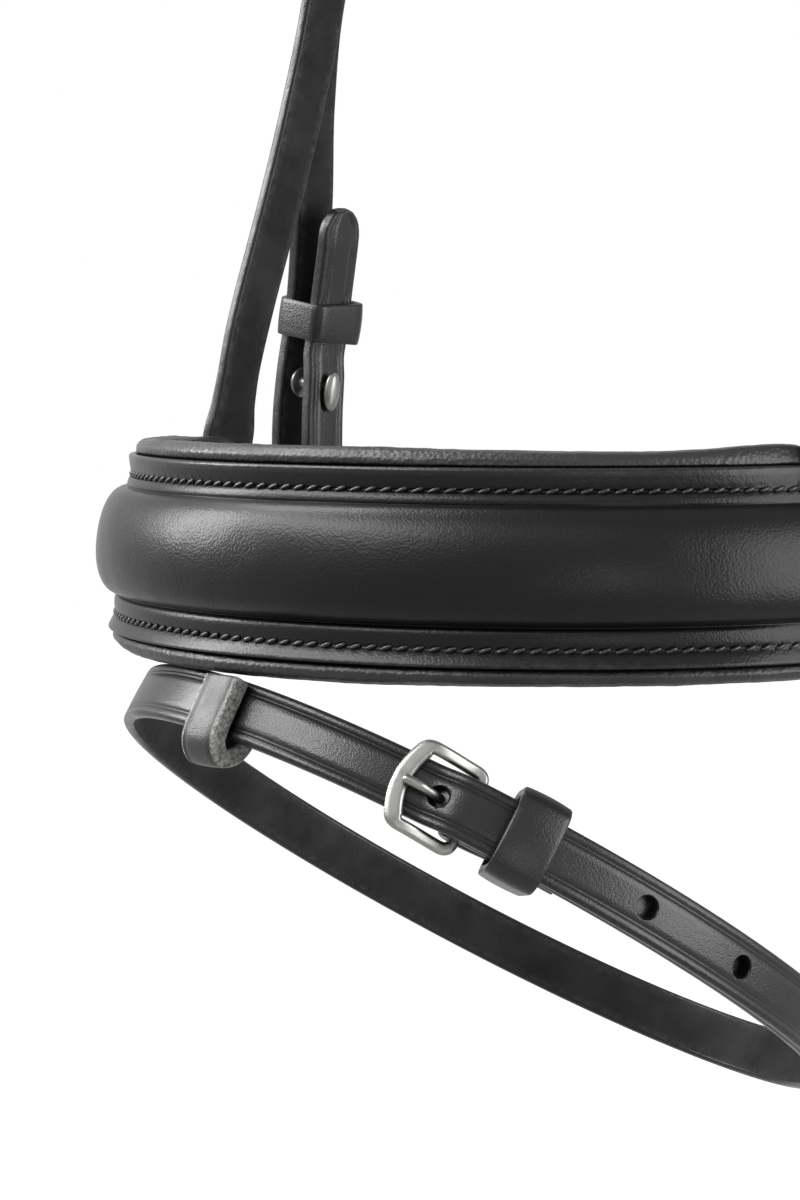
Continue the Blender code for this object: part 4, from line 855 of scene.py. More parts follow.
# Headpiece
crown = {"armSpread": 64.8, "armThick": 4.0, "armWidth": 36.0, "armDrop": 83.0, "armY": 1.5,
         "pollWidth": 56.0, "earWidth": 31.0, "earShift": 6.0, "padThick": 7.0, "padOverhang": 3.5,
         "padAngle": 66.0, "earAngle": 58.0, "seamInset": 3.4, "padStep": 3.2, "padEnd": 16.0,
         "channel": 0.26}
crownLook = {"edgeRound": 1.1, "creases": (2.0,), "creaseDeep": 0.16, "arch": 0.15, "step": 2.4}
archCentre = crown["padThick"] * mm + gap + crown["armThick"] * mm / 2 - crown["armSpread"] * mm
armEnd = archCentre - crown["armDrop"] * mm


def crownLine():
    spread = crown["armSpread"] * mm
    straight = spaced(armEnd, archCentre, 0.004)[:-1]
    points = [Vector((spread, 0.0, z)) for z in straight]
    hints = [Vector((1.0, 0.0, 0.0)) for _ in straight]
    for step in range(49):
        way = Vector((math.cos(math.pi * step / 48), 0.0, math.sin(math.pi * step / 48)))
        points.append(Vector((0.0, 0.0, archCentre)) + way * spread)
        hints.append(way)
    for z in reversed(straight):
        points.append(Vector((-spread, 0.0, z)))
        hints.append(Vector((-1.0, 0.0, 0.0)))
    return strapLine(points, hints)


def crownShape(fromMiddle):
    away = abs(fromMiddle)
    ear = crown["armSpread"] * mm * math.radians(crown["earAngle"])
    quarter = crown["armSpread"] * mm * math.pi / 2
    poll, narrow, arm = crown["pollWidth"] * mm, crown["earWidth"] * mm, crown["armWidth"] * mm
    if away < ear:
        share = ease(away / ear)
        return poll + (narrow - poll) * share, (crown["armY"] + crown["earShift"] * share) * mm
    share = ease((away - ear) / (quarter - ear + 0.012))
    return narrow + (arm - narrow) * share, (crown["armY"] + crown["earShift"] * (1 - share)) * mm


def makeCrown():
    line = crownLine()
    middle = line.total / 2
    thick = crown["armThick"] * mm
    rings, slots, wears = [], None, None
    for at in spaced(0.0, line.total, crownLook["step"] * mm):
        width, shift = crownShape(at - middle)
        left = min(at, line.total - at) / (crownLook["edgeRound"] * mm)
        thin = 0.5 + 0.5 * roundOff(left)
        section, slots, wears = strapSection(width, thick * thin, crownLook)
        rings.append([line.place(at, -shift + across, depth) for across, depth in section])
    piece = meshFromRings("crown_leather_skin", rings, strapMaterials, slots, wears)
    dress(piece, "headpiece", "bridle_leather", "crown_leather")
    inset = crown["seamInset"] * mm
    for side in (-1, 1):
        def across(at):
            width, shift = crownShape(at - middle)
            return side * (width / 2 - inset) - shift
        sewOn("headpiece", line, 0.004, line.total - 0.004, across, thick / 2)

    # The pad is fullest either side of a channel that frees the nape.
    half = crown["armSpread"] * mm * math.radians(crown["padAngle"])
    top = -thick / 2 - gap
    rings, pinned = [], []
    for fromMiddle in spaced(-half, half, crown["padStep"] * mm):
        width, shift = crownShape(fromMiddle)
        swell = 0.40 + 0.60 * roundOff((half - abs(fromMiddle)) / (crown["padEnd"] * mm))
        x = width / 2 + crown["padOverhang"] * mm - 0.0004
        deep = top - crown["padThick"] * mm * swell + 0.0006
        channel = crown["padThick"] * mm * crown["channel"] * swell
        profile = [(-x, top - 0.0016), (-x + 0.0012, top), (0.0, top), (x - 0.0012, top), (x, top - 0.0016),
                   (x - 0.0004, deep + 0.0026), (x * 0.88, deep + 0.0006), (x * 0.5, deep),
                   (x * 0.16, deep + channel * 0.5), (0.0, deep + channel), (-x * 0.16, deep + channel * 0.5),
                   (-x * 0.5, deep), (-x * 0.88, deep + 0.0006), (0.0004 - x, deep + 0.0026)]
        dense = withMiddles(profile)
        rings.append([line.place(middle + fromMiddle, across - shift, depth) for across, depth in dense])
        pinned += [1.0 if depth > top - 0.0022 or abs(across) < 0.0008 else 0.25 for across, depth in dense]
    pad = softPad("crown_pad_soft", rings, padMaterials, {"pressure": 4.0, "cap": 0.7, "fill": 0.7}, pinned)
    dress(pad, "headpiece", "soft_leather", "crown_pad")
    print("headpiece made")


makeCrown()


# Browband
brow = {"width": 17.0, "thick": 2.6, "reach": 142.0, "loopThick": 2.4, "padWidth": 21.0, "padThick": 4.4,
        "lapLength": 20.0, "lapZ": -118.0, "seamInset": 2.9, "padStep": 3.5, "padEnd": 12.0, "padClear": 6.0}
browLook = {"edgeRound": 0.9, "creases": (1.8,), "creaseDeep": 0.16, "arch": 0.3, "step": 2.2}


def browHeight():
    # The browband rests on the short straps' upper ends.
    return (brow["lapZ"] + brow["lapLength"] / 2 + fitting["gap"] + brow["width"] / 2) * mm


def browLine():
    front = (crown["armY"] - crown["armWidth"] / 2 - 2.0) * mm
    side = (crown["armSpread"] + crown["armThick"] / 2 + fitting["gap"] * 2 + brow["loopThick"]
            + brow["thick"] / 2) * mm
    back = (crown["armY"] + crown["armWidth"] / 2 - 4.0) * mm
    height = browHeight()
    points = [Vector((-side, y, height)) for y in spaced(back, front, 0.003)[:-1]]
    hints = [Vector((-1.0, 0.0, 0.0)) for _ in points]
    for step in range(61):
        angle = math.pi * (step / 60 - 0.5)
        points.append(Vector((side * math.sin(angle), front - brow["reach"] * mm * math.cos(angle), height)))
        way = Vector((math.sin(angle) / side, -math.cos(angle) / (brow["reach"] * mm), 0.0))
        hints.append(way.normalized())
    for y in spaced(front, back, 0.003)[1:]:
        points.append(Vector((side, y, height)))
        hints.append(Vector((1.0, 0.0, 0.0)))
    return strapLine(points, hints)


def makeBrowband():
    line = browLine()
    width, thick = brow["width"] * mm, brow["thick"] * mm
    rows = [(at, 0.0, width) for at in spaced(0.0, line.total, 0.006)]
    piece = strapPiece("browband_skin", line, rows, thick, browLook)
    dress(piece, "browband", "bridle_leather", "browband_leather")
    sewBothEdges("browband", line, 0.004, line.total - 0.004, width / 2 - brow["seamInset"] * mm, thick / 2)

    clear = (crown["armWidth"] + brow["padClear"]) * mm
    inner = -thick / 2 - gap
    half = brow["padWidth"] * mm / 2 - 0.0003
    rings, pinned = [], []
    for at in spaced(clear, line.total - clear, brow["padStep"] * mm):
        swell = 0.45 + 0.55 * ease(min(at - clear, line.total - clear - at) / (brow["padEnd"] * mm))
        deep = inner - brow["padThick"] * mm * swell + 0.0005
        profile = [(-half,inner - 0.0012), (-half + 0.0012, inner), (0.0, inner), (half - 0.0012,
                          inner), (half, inner - 0.0012), (half - 0.0008, deep + 0.0014), (half * 0.6,
                          deep), (0.0, deep - 0.0002), (-half * 0.6, deep), (0.0008 - half, deep + 0.0014)]
        dense = withMiddles(profile)
        rings.append([line.place(at, across, depth) for across, depth in dense])
        pinned += [1.0 if depth > inner - 0.0014 else 0.2 for across, depth in dense]
    pad = softPad("browband_pad_soft", rings, padMaterials, {"pressure": 4.0, "cap": 0.5, "fill": 0.7},
                  pinned)
    dress(pad, "browband", "soft_leather", "browband_pad")

    # The end loops slide on the crown's arms.
    height = browHeight()
    loop = brow["loopThick"] * mm
    halfLong = (crown["armWidth"] / 2 + fitting["gap"]) * mm + loop / 2
    halfWide = (crown["armThick"] / 2 + fitting["gap"]) * mm + loop / 2
    corner, edge = 1.4 * mm, 0.5 * mm
    # Once round the loop's section: (out, up, edge rounding), each side's material, each point's rubbing.
    section = ((-0.5, -1, 1), (-0.5, 0, 0), (-0.5, 1, 1), (-0.25, 1, 0), (0.25, 1, 0), (0.5, 1, 1),
               (0.5, 0.78, 0), (0.5, 0, 0), (0.5, -0.78, 0), (0.5, -1, 1), (0.25, -1, 0), (-0.25, -1, 0))
    slots = [2, 2, 1, 1, 1, 0, 0, 0, 0, 1, 1, 1]
    wears = [0, 0, 0.2, 0.5, 0.7, 1.0, 0.2, 0.0, 0.2, 1.0, 0.7, 0.5]
    for side, label in sideName.items():
        rings = []
        for xSign, ySign, first in ((1, 1, 0), (-1, 1, 1), (-1, -1, 2), (1, -1, 3)):
            x = side * crown["armSpread"] * mm + xSign * (halfWide - corner)
            y = crown["armY"] * mm + ySign * (halfLong - corner)
            for step in range(6):
                angle = math.pi / 2 * (first + step / 5)
                rings.append([Vector((x + (corner + depth * loop) * math.cos(angle),
                                      y + (corner + depth * loop) * math.sin(angle),
                                      height + rise * (width / 2 - inset * edge * 0.5)))
                              for depth, rise, inset in section])
        name = "browband_loop_skin_" + label
        piece = meshFromRings(name, rings, strapMaterials, slots, wears, closed=True)
        dress(piece, "browband", "bridle_leather", "browband_loop_" + label)
    print("browband made")


makeBrowband()


# Straps that hang from the crown's arms
hangerStrap = {"width": 12.7, "thick": 3.0, "lapY": -9.0}
cheekStrap = {"width": 12.7, "thick": 3.4, "lapY": 12.0}
# Between turnTop and turnEnd over the noseband's middle, a hanger turns to face as its foot does.
hanging = {"barAt": 56.0, "tail": 56.0, "pitch": 20.0, "holes": 3, "keeperAt": 16.0, "seamInset": 3.3,
           "turnTop": 55.0, "turnEnd": 22.0, "foldSeamFrom": 6.5, "foldSeamTo": 10.0, "foldSeamInset": 3.4}
bitEnd = {"height": 9.5, "spread": 11.8, "keeperSpread": 9.4, "tipRise": 76.5, "keeperRise": 45.0,
          "studRise": 27.5, "shank": 1.5, "plate": 4.2, "headLength": 12.0, "headWidth": 5.2}
strapLook = {"edgeRound": 0.8, "creases": (2.0, 2.9), "creaseDeep": 0.17, "arch": 0.12, "step": 1.6,
             "backArch": 1.1, "backRub": 1.0}
noseCentre = Vector((0.0, -10.0, -390.0)) * mm
hangerLine = [(62.0, 1.0, 235.0), (66.0, 0.8, 200.0), (73.0, 6.6, 165.0), (80.5, 7.8, 134.0),
              (85.0, 5.3, 109.5), (89.0, 0.7, 84.0), (93.0, -5.0, 58.0), (95.0, -7.9, 42.7)]
cheekLine = [(70.5, 22.0, 235.0), (74.5, 22.0, 200.0), (82.0, 18.8, 165.0), (91.5, 18.2, 135.0),
             (97.2, 20.2, 110.0), (103.8, 25.5, 84.7), (109.2, 28.2, 58.0), (112.3, 27.3, 38.0),
             (113.2, 26.6, 24.0), (113.2, 26.6, 8.0), (113.2, 26.6, -10.0)]


def hangingLine(side, lapX, lapY, line, foot, footFacing):
    lapZ, half = brow["lapZ"] * mm, brow["lapLength"] * mm / 2
    controls = [Vector((lapX, lapY, lapZ + half)), Vector((lapX, lapY, lapZ)),
                Vector((lapX, lapY, lapZ - half))]
    controls += [noseCentre + Vector(place) * mm for place in line] + foot
    points = smoothLine([Vector((side * p.x, p.y, p.z)) for p in controls])
    hints = []
    for point in points:
        below = hanging["turnTop"] * mm - (point.z - noseCentre.z)
        turned = ease(below / ((hanging["turnTop"] - hanging["turnEnd"]) * mm))
        facing = Vector((1.0, 0.0, 0.0)).lerp(footFacing, turned)
        hints.append(Vector((side * facing.x, facing.y, facing.z)))
    return strapLine(points, hints)


def roundTop(at, height, width):
    return [(at + width / 2 * (1 - math.cos(math.radians(angle))), height,
             width * math.sin(math.radians(angle)))
            for angle in (20.0, 38.0, 56.0, 74.0)]


def hangingBillet(name, body, node, line, closure):
    rows = roundTop(0.0, closure.level, closure.width)
    rows += closure.billet(closure.width / 2, hanging["tail"] * mm, 0.012)
    piece = strapPiece(name, line, rows, closure.thick, strapLook)
    first = closure.barAt - fitting["holeFromBar"] * mm
    places = [first + hanging["pitch"] * mm * i for i in range(1, hanging["holes"])]
    closure.punchTongueHole(piece)
    punchHoles(piece, line, places, closure.level + closure.thick / 2 + closure.lay, holeLook)
    sewLap(body, line, closure.width, closure.thick)
    dress(piece, body, "bridle_leather", node)


def sewLap(body, line, width, thick):
    # The upper end is sewn to the crown's arm.
    end = brow["lapLength"] * mm - 0.001
    sewBothEdges(body, line, 0.005, end, width / 2 - hanging["seamInset"] * mm, thick / 2)


def makeStud(name, node, line, at, body):
    thick = cheekStrap["thick"] * mm
    plateTop = -thick / 2 - gap
    headTop = -(bitEnd["spread"] - 0.8) * mm - thick / 2 - 0.0006
    shank, plate = bitEnd["shank"] * mm, bitEnd["plate"] * mm
    long, wide = bitEnd["headLength"] * mm / 2, bitEnd["headWidth"] * mm / 2
    # Each ring of the stud: (height, half length, half width, shift along the strap).
    levels = [(plateTop, plate * 0.5, plate * 0.5, 0.0), (plateTop, plate - 0.0002, plate - 0.0002, 0.0),
              (plateTop - 0.0003, plate, plate, 0.0), (plateTop - 0.0009, plate, plate, 0.0),
              (plateTop - 0.0012, plate - 0.0003, plate - 0.0003, 0.0),
              (plateTop - 0.00135, shank * 1.5, shank * 1.5, 0.0), (plateTop - 0.0020, shank, shank, 0.0),
              (headTop + 0.0004, shank, shank, 0.0), (headTop, shank * 1.3, shank * 1.2, 0.0003),
              (headTop - 0.0002, long * 0.6, wide * 0.7, 0.0013),
              (headTop - 0.0003, long - 0.0007, wide - 0.0004, 0.0015),
              (headTop - 0.0007, long - 0.0002, wide - 0.0001, 0.0015),
              (headTop - 0.0012, long, wide, 0.0015),
              (headTop - 0.0016, long - 0.0003, wide - 0.0002, 0.0015),
              (headTop - 0.0021, long - 0.0012, wide - 0.0008, 0.0015),
              (headTop - 0.0024, long * 0.55, wide * 0.5, 0.0015),
              (headTop - 0.0025, long * 0.2, wide * 0.2, 0.0015)]
    turns = [(math.cos(math.tau * i / 28), math.sin(math.tau * i / 28)) for i in range(28)]
    rings = [[line.place(at + shift + a * c, b * s, height) for c, s in turns]
             for height, a, b, shift in levels]
    dress(meshFromRings(name, rings, metalMaterials), body, "steel", node)


def makeCheekpiece(side):
    label = sideName[side]
    body = "cheekpiece_" + label + "_strap"
    thick, width = cheekStrap["thick"] * mm, cheekStrap["width"] * mm
    lapX = (crown["armSpread"] + crown["armThick"] / 2) * mm + gap + thick / 2
    line = hangingLine(side, lapX, cheekStrap["lapY"] * mm, cheekLine, [], Vector((1.0, 0.0, 0.0)))
    closure = closing(line, hanging["barAt"] * mm, 0.0, width, thick)
    hangingBillet("cheek_billet_skin_" + label, body, "cheek_billet_" + label, line, closure)

    endAt = line.total - (bitEnd["height"] + 10.0) * mm
    spread, keeperSpread = bitEnd["spread"] * mm, bitEnd["keeperSpread"] * mm
    rows = closure.lowerStrap(endAt, 0.012)
    for step in range(1, 8):
        angle = math.pi / 2 - math.pi * step / 8
        rows.append((endAt + spread / 2 * math.cos(angle), spread / 2 * (math.sin(angle) - 1), width))
    rows += [(endAt - rise, -apart, width) for rise, apart in (
        (0.0, spread), (0.0110, spread), (0.0220, spread - 0.0004), (0.0300, spread - 0.0010),
        (0.0370, keeperSpread), (0.0500, keeperSpread), (0.0600, keeperSpread + 0.0006))]
    rows += tip(endAt - bitEnd["tipRise"] * mm, -keeperSpread - 0.0012, width, -1)
    piece = strapPiece("cheekpiece_skin_" + label, line, rows, thick, strapLook)
    closure.openSlot(piece)
    studAt = endAt - bitEnd["studRise"] * mm
    punchHoles(piece, line, [studAt], -(bitEnd["spread"] - 0.8) * mm + 0.0024, {"hole": 4.0, "through": 5.4})
    dress(piece, body, "bridle_leather", "cheekpiece_" + label)
    start, end = closure.barAt + hanging["foldSeamFrom"] * mm, closure.barAt + hanging["foldSeamTo"] * mm
    sewBothEdges(body, line, start, end, width / 2 - hanging["foldSeamInset"] * mm, thick / 2)

    closure.dressFittings("cheek", body, hanging["keeperAt"], "_" + label)
    loop = keeperPiece("bit_keeper_loop_" + label, line, endAt - bitEnd["keeperRise"] * mm, width,
                       -keeperSpread - thick / 2, thick / 2, thin=0.6, tight=0.4, shift=1.3 * side)
    dress(loop, body, "bridle_leather", "bit_keeper_" + label)
    makeStud("hook_stud_pin_" + label, "hook_stud_" + label, line, studAt, body)
    print("cheekpiece made,", label)


for side in sideName:
    makeCheekpiece(side)


# Noseband. The cover is one skin: flared flanges, sunk stitch channels, a padded roll between two creases.
nose = {"halfWidth": 100.0, "halfLength": 95.5, "cone": 0.124, "coverThick": 2.2, "top": 21.4,
        "bottom": -19.9, "stitchTop": 16.6, "stitchBottom": -16.2, "rollTop": 13.5, "rollBottom": -11.2,
        "rise": 6.1, "half": 170.0, "rollFull": 131.0, "rollEnd": 135.4, "endHeight": 0.56, "endRound": 6.0,
        "flangeFade": 22.0, "step": 2.0, "sides": ((1, 5), (0, 45), (1, 3), (0, 1), (2, 13))}
lining = {"half": 140.5, "roll": 4.3, "thick": 6.0, "step": 2.4, "endRound": 5.0, "seam": 22.0, "rise": 1.2,
          "riseFrom": 95.0, "fall": 1.0, "fallFrom": 100.0, "over": 35.0}
# Hand work on the noseband: unevenness on the roll, and leather drawn in beside the stitches.
handWork = {"broad": 42.0, "broadDeep": 0.16, "fine": 130.0, "fineDeep": 0.05, "drawDeep": 0.11,
            "drawFrom": 0.25, "drawTo": 1.6, "drawAt": 0.6, "drawWide": 0.5}
noseLine = ovalLine(noseCentre, nose["halfWidth"] * mm, nose["halfLength"] * mm, 0.0, 0.0, nose["cone"])


def noseScales(at):
    away, half, full = abs(at), nose["half"] * mm, nose["rollFull"] * mm
    height = 1 - (1 - nose["endHeight"]) * ease((away - full) / (half - full))
    roll = 1 - ease((away - full) / ((nose["rollEnd"] - nose["rollFull"]) * mm))
    return height * (0.55 + 0.45 * roundOff((half - away) / (nose["endRound"] * mm))), roll


def flangeScale(at):
    # The flanges lie flat again before the hangers' feet.
    fade = nose["flangeFade"] * mm
    return 1 - ease((abs(at) - nose["rollFull"] * mm + fade) / fade)


def rollArc(rise, shrink, count):
    middle = (nose["rollTop"] + nose["rollBottom"]) / 2
    half = (nose["rollTop"] - nose["rollBottom"]) / 2 * shrink
    return [(middle + half * math.cos(math.pi * (i + 0.4) / (count - 0.2)),
             rise * math.sin(math.pi * (i + 0.4) / (count - 0.2)) ** 0.92) for i in range(count)]


def faceProfile(roll, flange):
    # (height on the band, outward, rubbing), millimetres, from the top edge down.
    rise = nose["rise"] * roll
    bend = 0.35 + 0.85 * flange
    top = [(21.25, -1.55, 0.4), (21.42, -1.0, 0.7), (21.40, -0.35, 1.0), (21.10, 0.20, 1.0),
           (20.70, 0.36, 0.7), (19.6, 0.12, 0.1), (18.4, -0.16, 0.0), (17.6, -0.30, 0.0),
           (17.15, -0.46, 0.0), (16.85, -0.80, 0.0), (16.6, -0.90, 0.0), (16.35, -0.80, 0.0),
           (16.05, -0.42, 0.1), (15.6, -0.20, 0.2), (14.9, -0.05, 0.1), (14.3, 0.03, 0.0),
           (13.85, -0.02, 0.0), (13.6, -0.13, 0.0), (13.45, -0.13, 0.0)]
    arc = [(z, h, 0.0) for z, h in rollArc(rise, 1.0, 17)]
    low = [(-11.3, -0.75, 0.0), (-11.55, -0.80, 0.0), (-11.9, -0.42, 0.0), (-12.6, -0.10, 0.0),
           (-13.6, -0.12, 0.0), (-14.8, -0.30, 0.0), (-15.6, -0.44, 0.0), (-15.95, -0.78, 0.0),
           (-16.2, -0.88, 0.0), (-16.45, -0.78, 0.0), (-16.8, -0.44, 0.1), (-17.6, -0.16, 0.1),
           (-18.6, 0.16, 0.2), (-19.5, 0.46, 0.6), (-19.86, 0.40, 1.0), (-19.95, 0.0, 1.0),
           (-19.95, -0.9, 0.7), (-19.80, -1.55, 0.4)]
    thick = nose["coverThick"]
    top, low = ([(z, h * bend if h > -1.3 else h, rub) for z, h, rub in flange] for flange in (top, low))
    back = [(-19.6, -thick, 0.0), (-15.0, -thick, 0.0), (-9.8, -thick, 0.0)]
    back += [(z, h - thick, 0.0) for z, h in reversed(rollArc(rise, 0.86, 7))]
    back += [(12.1, -thick, 0.0), (16.0, -thick, 0.0), (21.1, -thick, 0.0)]
    return top + arc + low + back


def makeNoseband():
    places = spaced(0.0, nose["rollFull"] * mm, nose["step"] * mm)
    places += spaced(nose["rollFull"] * mm, nose["rollEnd"] * mm, 1.1 * mm)[1:]
    places += spaced(nose["rollEnd"] * mm, nose["half"] * mm - 0.006, 2.0 * mm)[1:]
    places += [nose["half"] * mm - left for left in (0.0045, 0.0032, 0.0020, 0.0011, 0.0005, 0.00015, 0.0)]
    places = [-at for at in reversed(places[1:])] + places
    rings, pinned = [], []
    for at in places:
        height, roll = noseScales(at)
        ring = []
        for z, h, _ in faceProfile(roll, flangeScale(at)):
            inside = nose["rollBottom"] + 0.6 < z < nose["rollTop"] - 0.3 and h > -0.3
            swell = 0.0
            if inside and roll > 0.01:
                share = (z - nose["rollBottom"]) / (nose["rollTop"] - nose["rollBottom"])
                swell = -0.35 * math.sin(math.pi * share) * roll
            pinned.append(0.0 if inside and roll > 0.5 else 1.0)
            ring.append(noseLine.place(at, z * mm * height, (h + swell) * mm))
        rings.append(ring)
    # Sides in turn: the top cut edge, the face, the bottom cut edge and its lip, the back.
    slots = [slot for slot, count in nose["sides"] for _ in range(count)]
    wears = [rub for _, _, rub in faceProfile(1.0, 1.0)]
    materials = [stretchedBridleLeather, burnishedEdge, dressedFleshSide]
    piece = softPad("noseband_cover_padded", rings, materials, {"pressure": 4.0, "cap": 0.8, "fill": 0.8},
                    pinned, slots, wears)
    shapeNoseband(piece)
    dress(piece, "noseband", "bridle_leather", "noseband_cover", "noseband_core")
    end = nose["half"] * mm - 0.0042
    for z in (nose["stitchTop"], nose["stitchBottom"]):
        sewOn("noseband", noseLine, -end, end, lambda at: z * mm * noseScales(at)[0],
              lambda at: -(0.10 + 0.60 * flangeScale(at)) * mm)
    for at in (-end, end):
        height = noseScales(at)[0]
        top, bottom = nose["stitchTop"] * mm * height, nose["stitchBottom"] * mm * height
        rows = spaced(top, bottom, thread["sampling"] * mm)
        sew("noseband", [noseLine.place(at, z, 0.0002) for z in rows], [noseLine.frameAt(at)[3]] * len(rows))
    print("noseband cover made")

    rings, pinned = [], []
    for at in spaced(-lining["half"] * mm, lining["half"] * mm, lining["step"] * mm):
        scale = 0.90 + 0.10 * roundOff((lining["half"] * mm - abs(at)) / (lining["endRound"] * mm))
        height = noseScales(at)[0]
        # The top edge climbs a little on the near side and drops a little on the off side.
        climb = lining["rise"] * ease((at - lining["riseFrom"] * mm) / (lining["over"] * mm))
        drop = lining["fall"] * ease((-at - lining["fallFrom"] * mm) / (lining["over"] * mm))
        profile = liningProfile(climb - drop)
        rings.append([noseLine.place(at, (z * scale if abs(z) > lining["seam"] else z) * height * mm, h * mm)
                      for z, h in profile])
        pinned += [1.0 if h > -3.2 and abs(z) < 22.2 else 0.15 for z, h in profile]
    pad = softPad("noseband_lining_soft", rings, padMaterials, {"pressure": 4.0, "cap": 0.5, "fill": 0.6},
                  pinned)
    pucker(pad, 0.16, 2.6)
    dress(pad, "noseband", "soft_leather", "noseband_lining")
    print("noseband lining made")


def liningProfile(lift):
    top, bottom = nose["top"] + fitting["gap"], nose["bottom"] - fitting["gap"]
    crest, keel = nose["top"] + lining["roll"] + lift, nose["bottom"] - lining["roll"]
    front = -nose["coverThick"] - fitting["gap"]
    back = front - lining["thick"]
    return withMiddles([
        (top, front), (top + 0.1, -1.1), (top + 1.6, -0.6), (crest - 0.9, -1.5), (crest - 0.15, -3.8),
        (crest - 0.9, -6.2), (crest - 3.4, back + 0.3), (8.0, back + 0.7), (-8.0, back + 0.7),
        (keel + 3.4, back + 0.3), (keel + 0.9, -6.2), (keel + 0.15, -3.8), (keel + 0.9, -1.5),
        (bottom - 1.6, -0.6), (bottom - 0.1, -1.1), (bottom, front), (-8.0, front), (8.0, front)])


def shapeNoseband(piece):
    # After the filling: soft unevenness on the roll, and the leather drawn in at each stitch.
    pitch = thread["pitch"] * mm
    for vertex in piece.data.vertices:
        offset = vertex.co - noseCentre
        angle = math.atan2(offset.x / nose["halfWidth"], -offset.y / nose["halfLength"])
        outward = Vector((math.sin(angle), -math.cos(angle), nose["cone"])).normalized()
        z = offset.z / mm
        uneven = (noise.noise(vertex.co * handWork["broad"]) * handWork["broadDeep"]
                  + noise.noise(vertex.co * handWork["fine"]) * handWork["fineDeep"])
        if nose["rollBottom"] < z < nose["rollTop"]:
            vertex.co += outward * uneven * mm
        arc = np.interp(math.degrees(angle) % 360, range(361), noseLine.lengths)
        for row in (nose["stitchTop"], nose["stitchBottom"]):
            away = abs(z - row)
            if handWork["drawFrom"] < away < handWork["drawTo"]:
                wave = math.cos(math.tau * arc / pitch)
                fade = math.exp(-((away - handWork["drawAt"]) / handWork["drawWide"]) ** 2)
                vertex.co -= outward * handWork["drawDeep"] * mm * (1 + wave) * fade
    piece.data.update()


def pucker(piece, deep, length):
    # Fine gathers where soft leather turns over its padding.
    mesh = piece.data
    mesh.calc_loop_triangles()
    normals = [vertex.normal.copy() for vertex in mesh.vertices]
    for vertex, normal in zip(mesh.vertices, normals):
        fine = noise.noise(Vector((vertex.co.x, vertex.co.y, vertex.co.z * 0.35)) * (1000 / length))
        broad = noise.noise(vertex.co * (1000 / (length * 4.0)))
        vertex.co += normal * (fine * 0.6 + broad * 0.6) * deep * mm
    mesh.update()


makeNoseband()


# Noseband headstall
footSeam = {"at": 144.1, "width": 17.0, "drop": 12.0, "inset": 2.2}


def makeHanger(side):
    label = sideName[side]
    thick, width, foot = hangerStrap["thick"] * mm, hangerStrap["width"] * mm, footSeam["width"] * mm
    lapX = (crown["armSpread"] - crown["armThick"] / 2) * mm - gap - thick / 2
    footPlace = footSeam["at"] * mm
    ends = [noseLine.place(footPlace, z, gap + thick / 2) for z in (0.0225, 0.0140, 0.0, -0.0200)]
    line = hangingLine(side, lapX, hangerStrap["lapY"] * mm, hangerLine, ends, noseLine.frameAt(footPlace)[3])
    footAt = line.total - (20.0 - footSeam["drop"]) * mm
    flareAt = footAt - 0.0540
    lower = [(footAt - rise, 0.0, wide) for rise, wide in (
        (0.0440, width + (foot - width) * 0.3), (0.0355, foot), (0.0240, foot), (0.0120, foot),
        (0.0040, foot * 0.98), (0.0012, foot * 0.86), (0.0, foot * 0.70))]
    if side == off:
        rows = roundTop(0.0, 0.0, width) + [(at, 0.0, width) for at in spaced(width / 2, flareAt, 0.012)]
        piece = strapPiece("noseband_hanger_skin_off", line, rows + lower, thick, strapLook)
        sewLap("noseband", line, width, thick)
    else:
        closure = closing(line, hanging["barAt"] * mm, 0.0, width, thick)
        hangingBillet("noseband_billet_skin", "noseband", "noseband_billet", line, closure)
        rows = closure.lowerStrap(flareAt, 0.012)
        piece = strapPiece("noseband_hanger_skin_near", line, rows + lower, thick, strapLook)
        closure.openSlot(piece)
        closure.dressFittings("hanger", "noseband", hanging["keeperAt"])
    dress(piece, "noseband", "bridle_leather", "noseband_hanger_" + label)
    across = foot / 2 - footSeam["inset"] * mm
    sewBothEdges("noseband", line, footAt - 0.0240, footAt - 0.0030, across, thick / 2)
    print("noseband hanger made,", label)


for side in sideName:
    makeHanger(side)


# Chin strap
chin = {"width": 19.0, "thick": 3.2, "lap": 14.5, "barAt": 215.0, "tail": 70.0, "keeperAt": 16.0,
        "runnerAt": 48.0, "padLength": 70.0, "padWidth": 30.0, "padThick": 8.0, "padShift": 18.0,
        "padStep": 2.2, "padEnd": 12.0}
chinLook = {"edgeRound": 1.1, "creases": (2.2, 3.1), "creaseDeep": 0.17, "arch": 0.15, "step": 1.8}


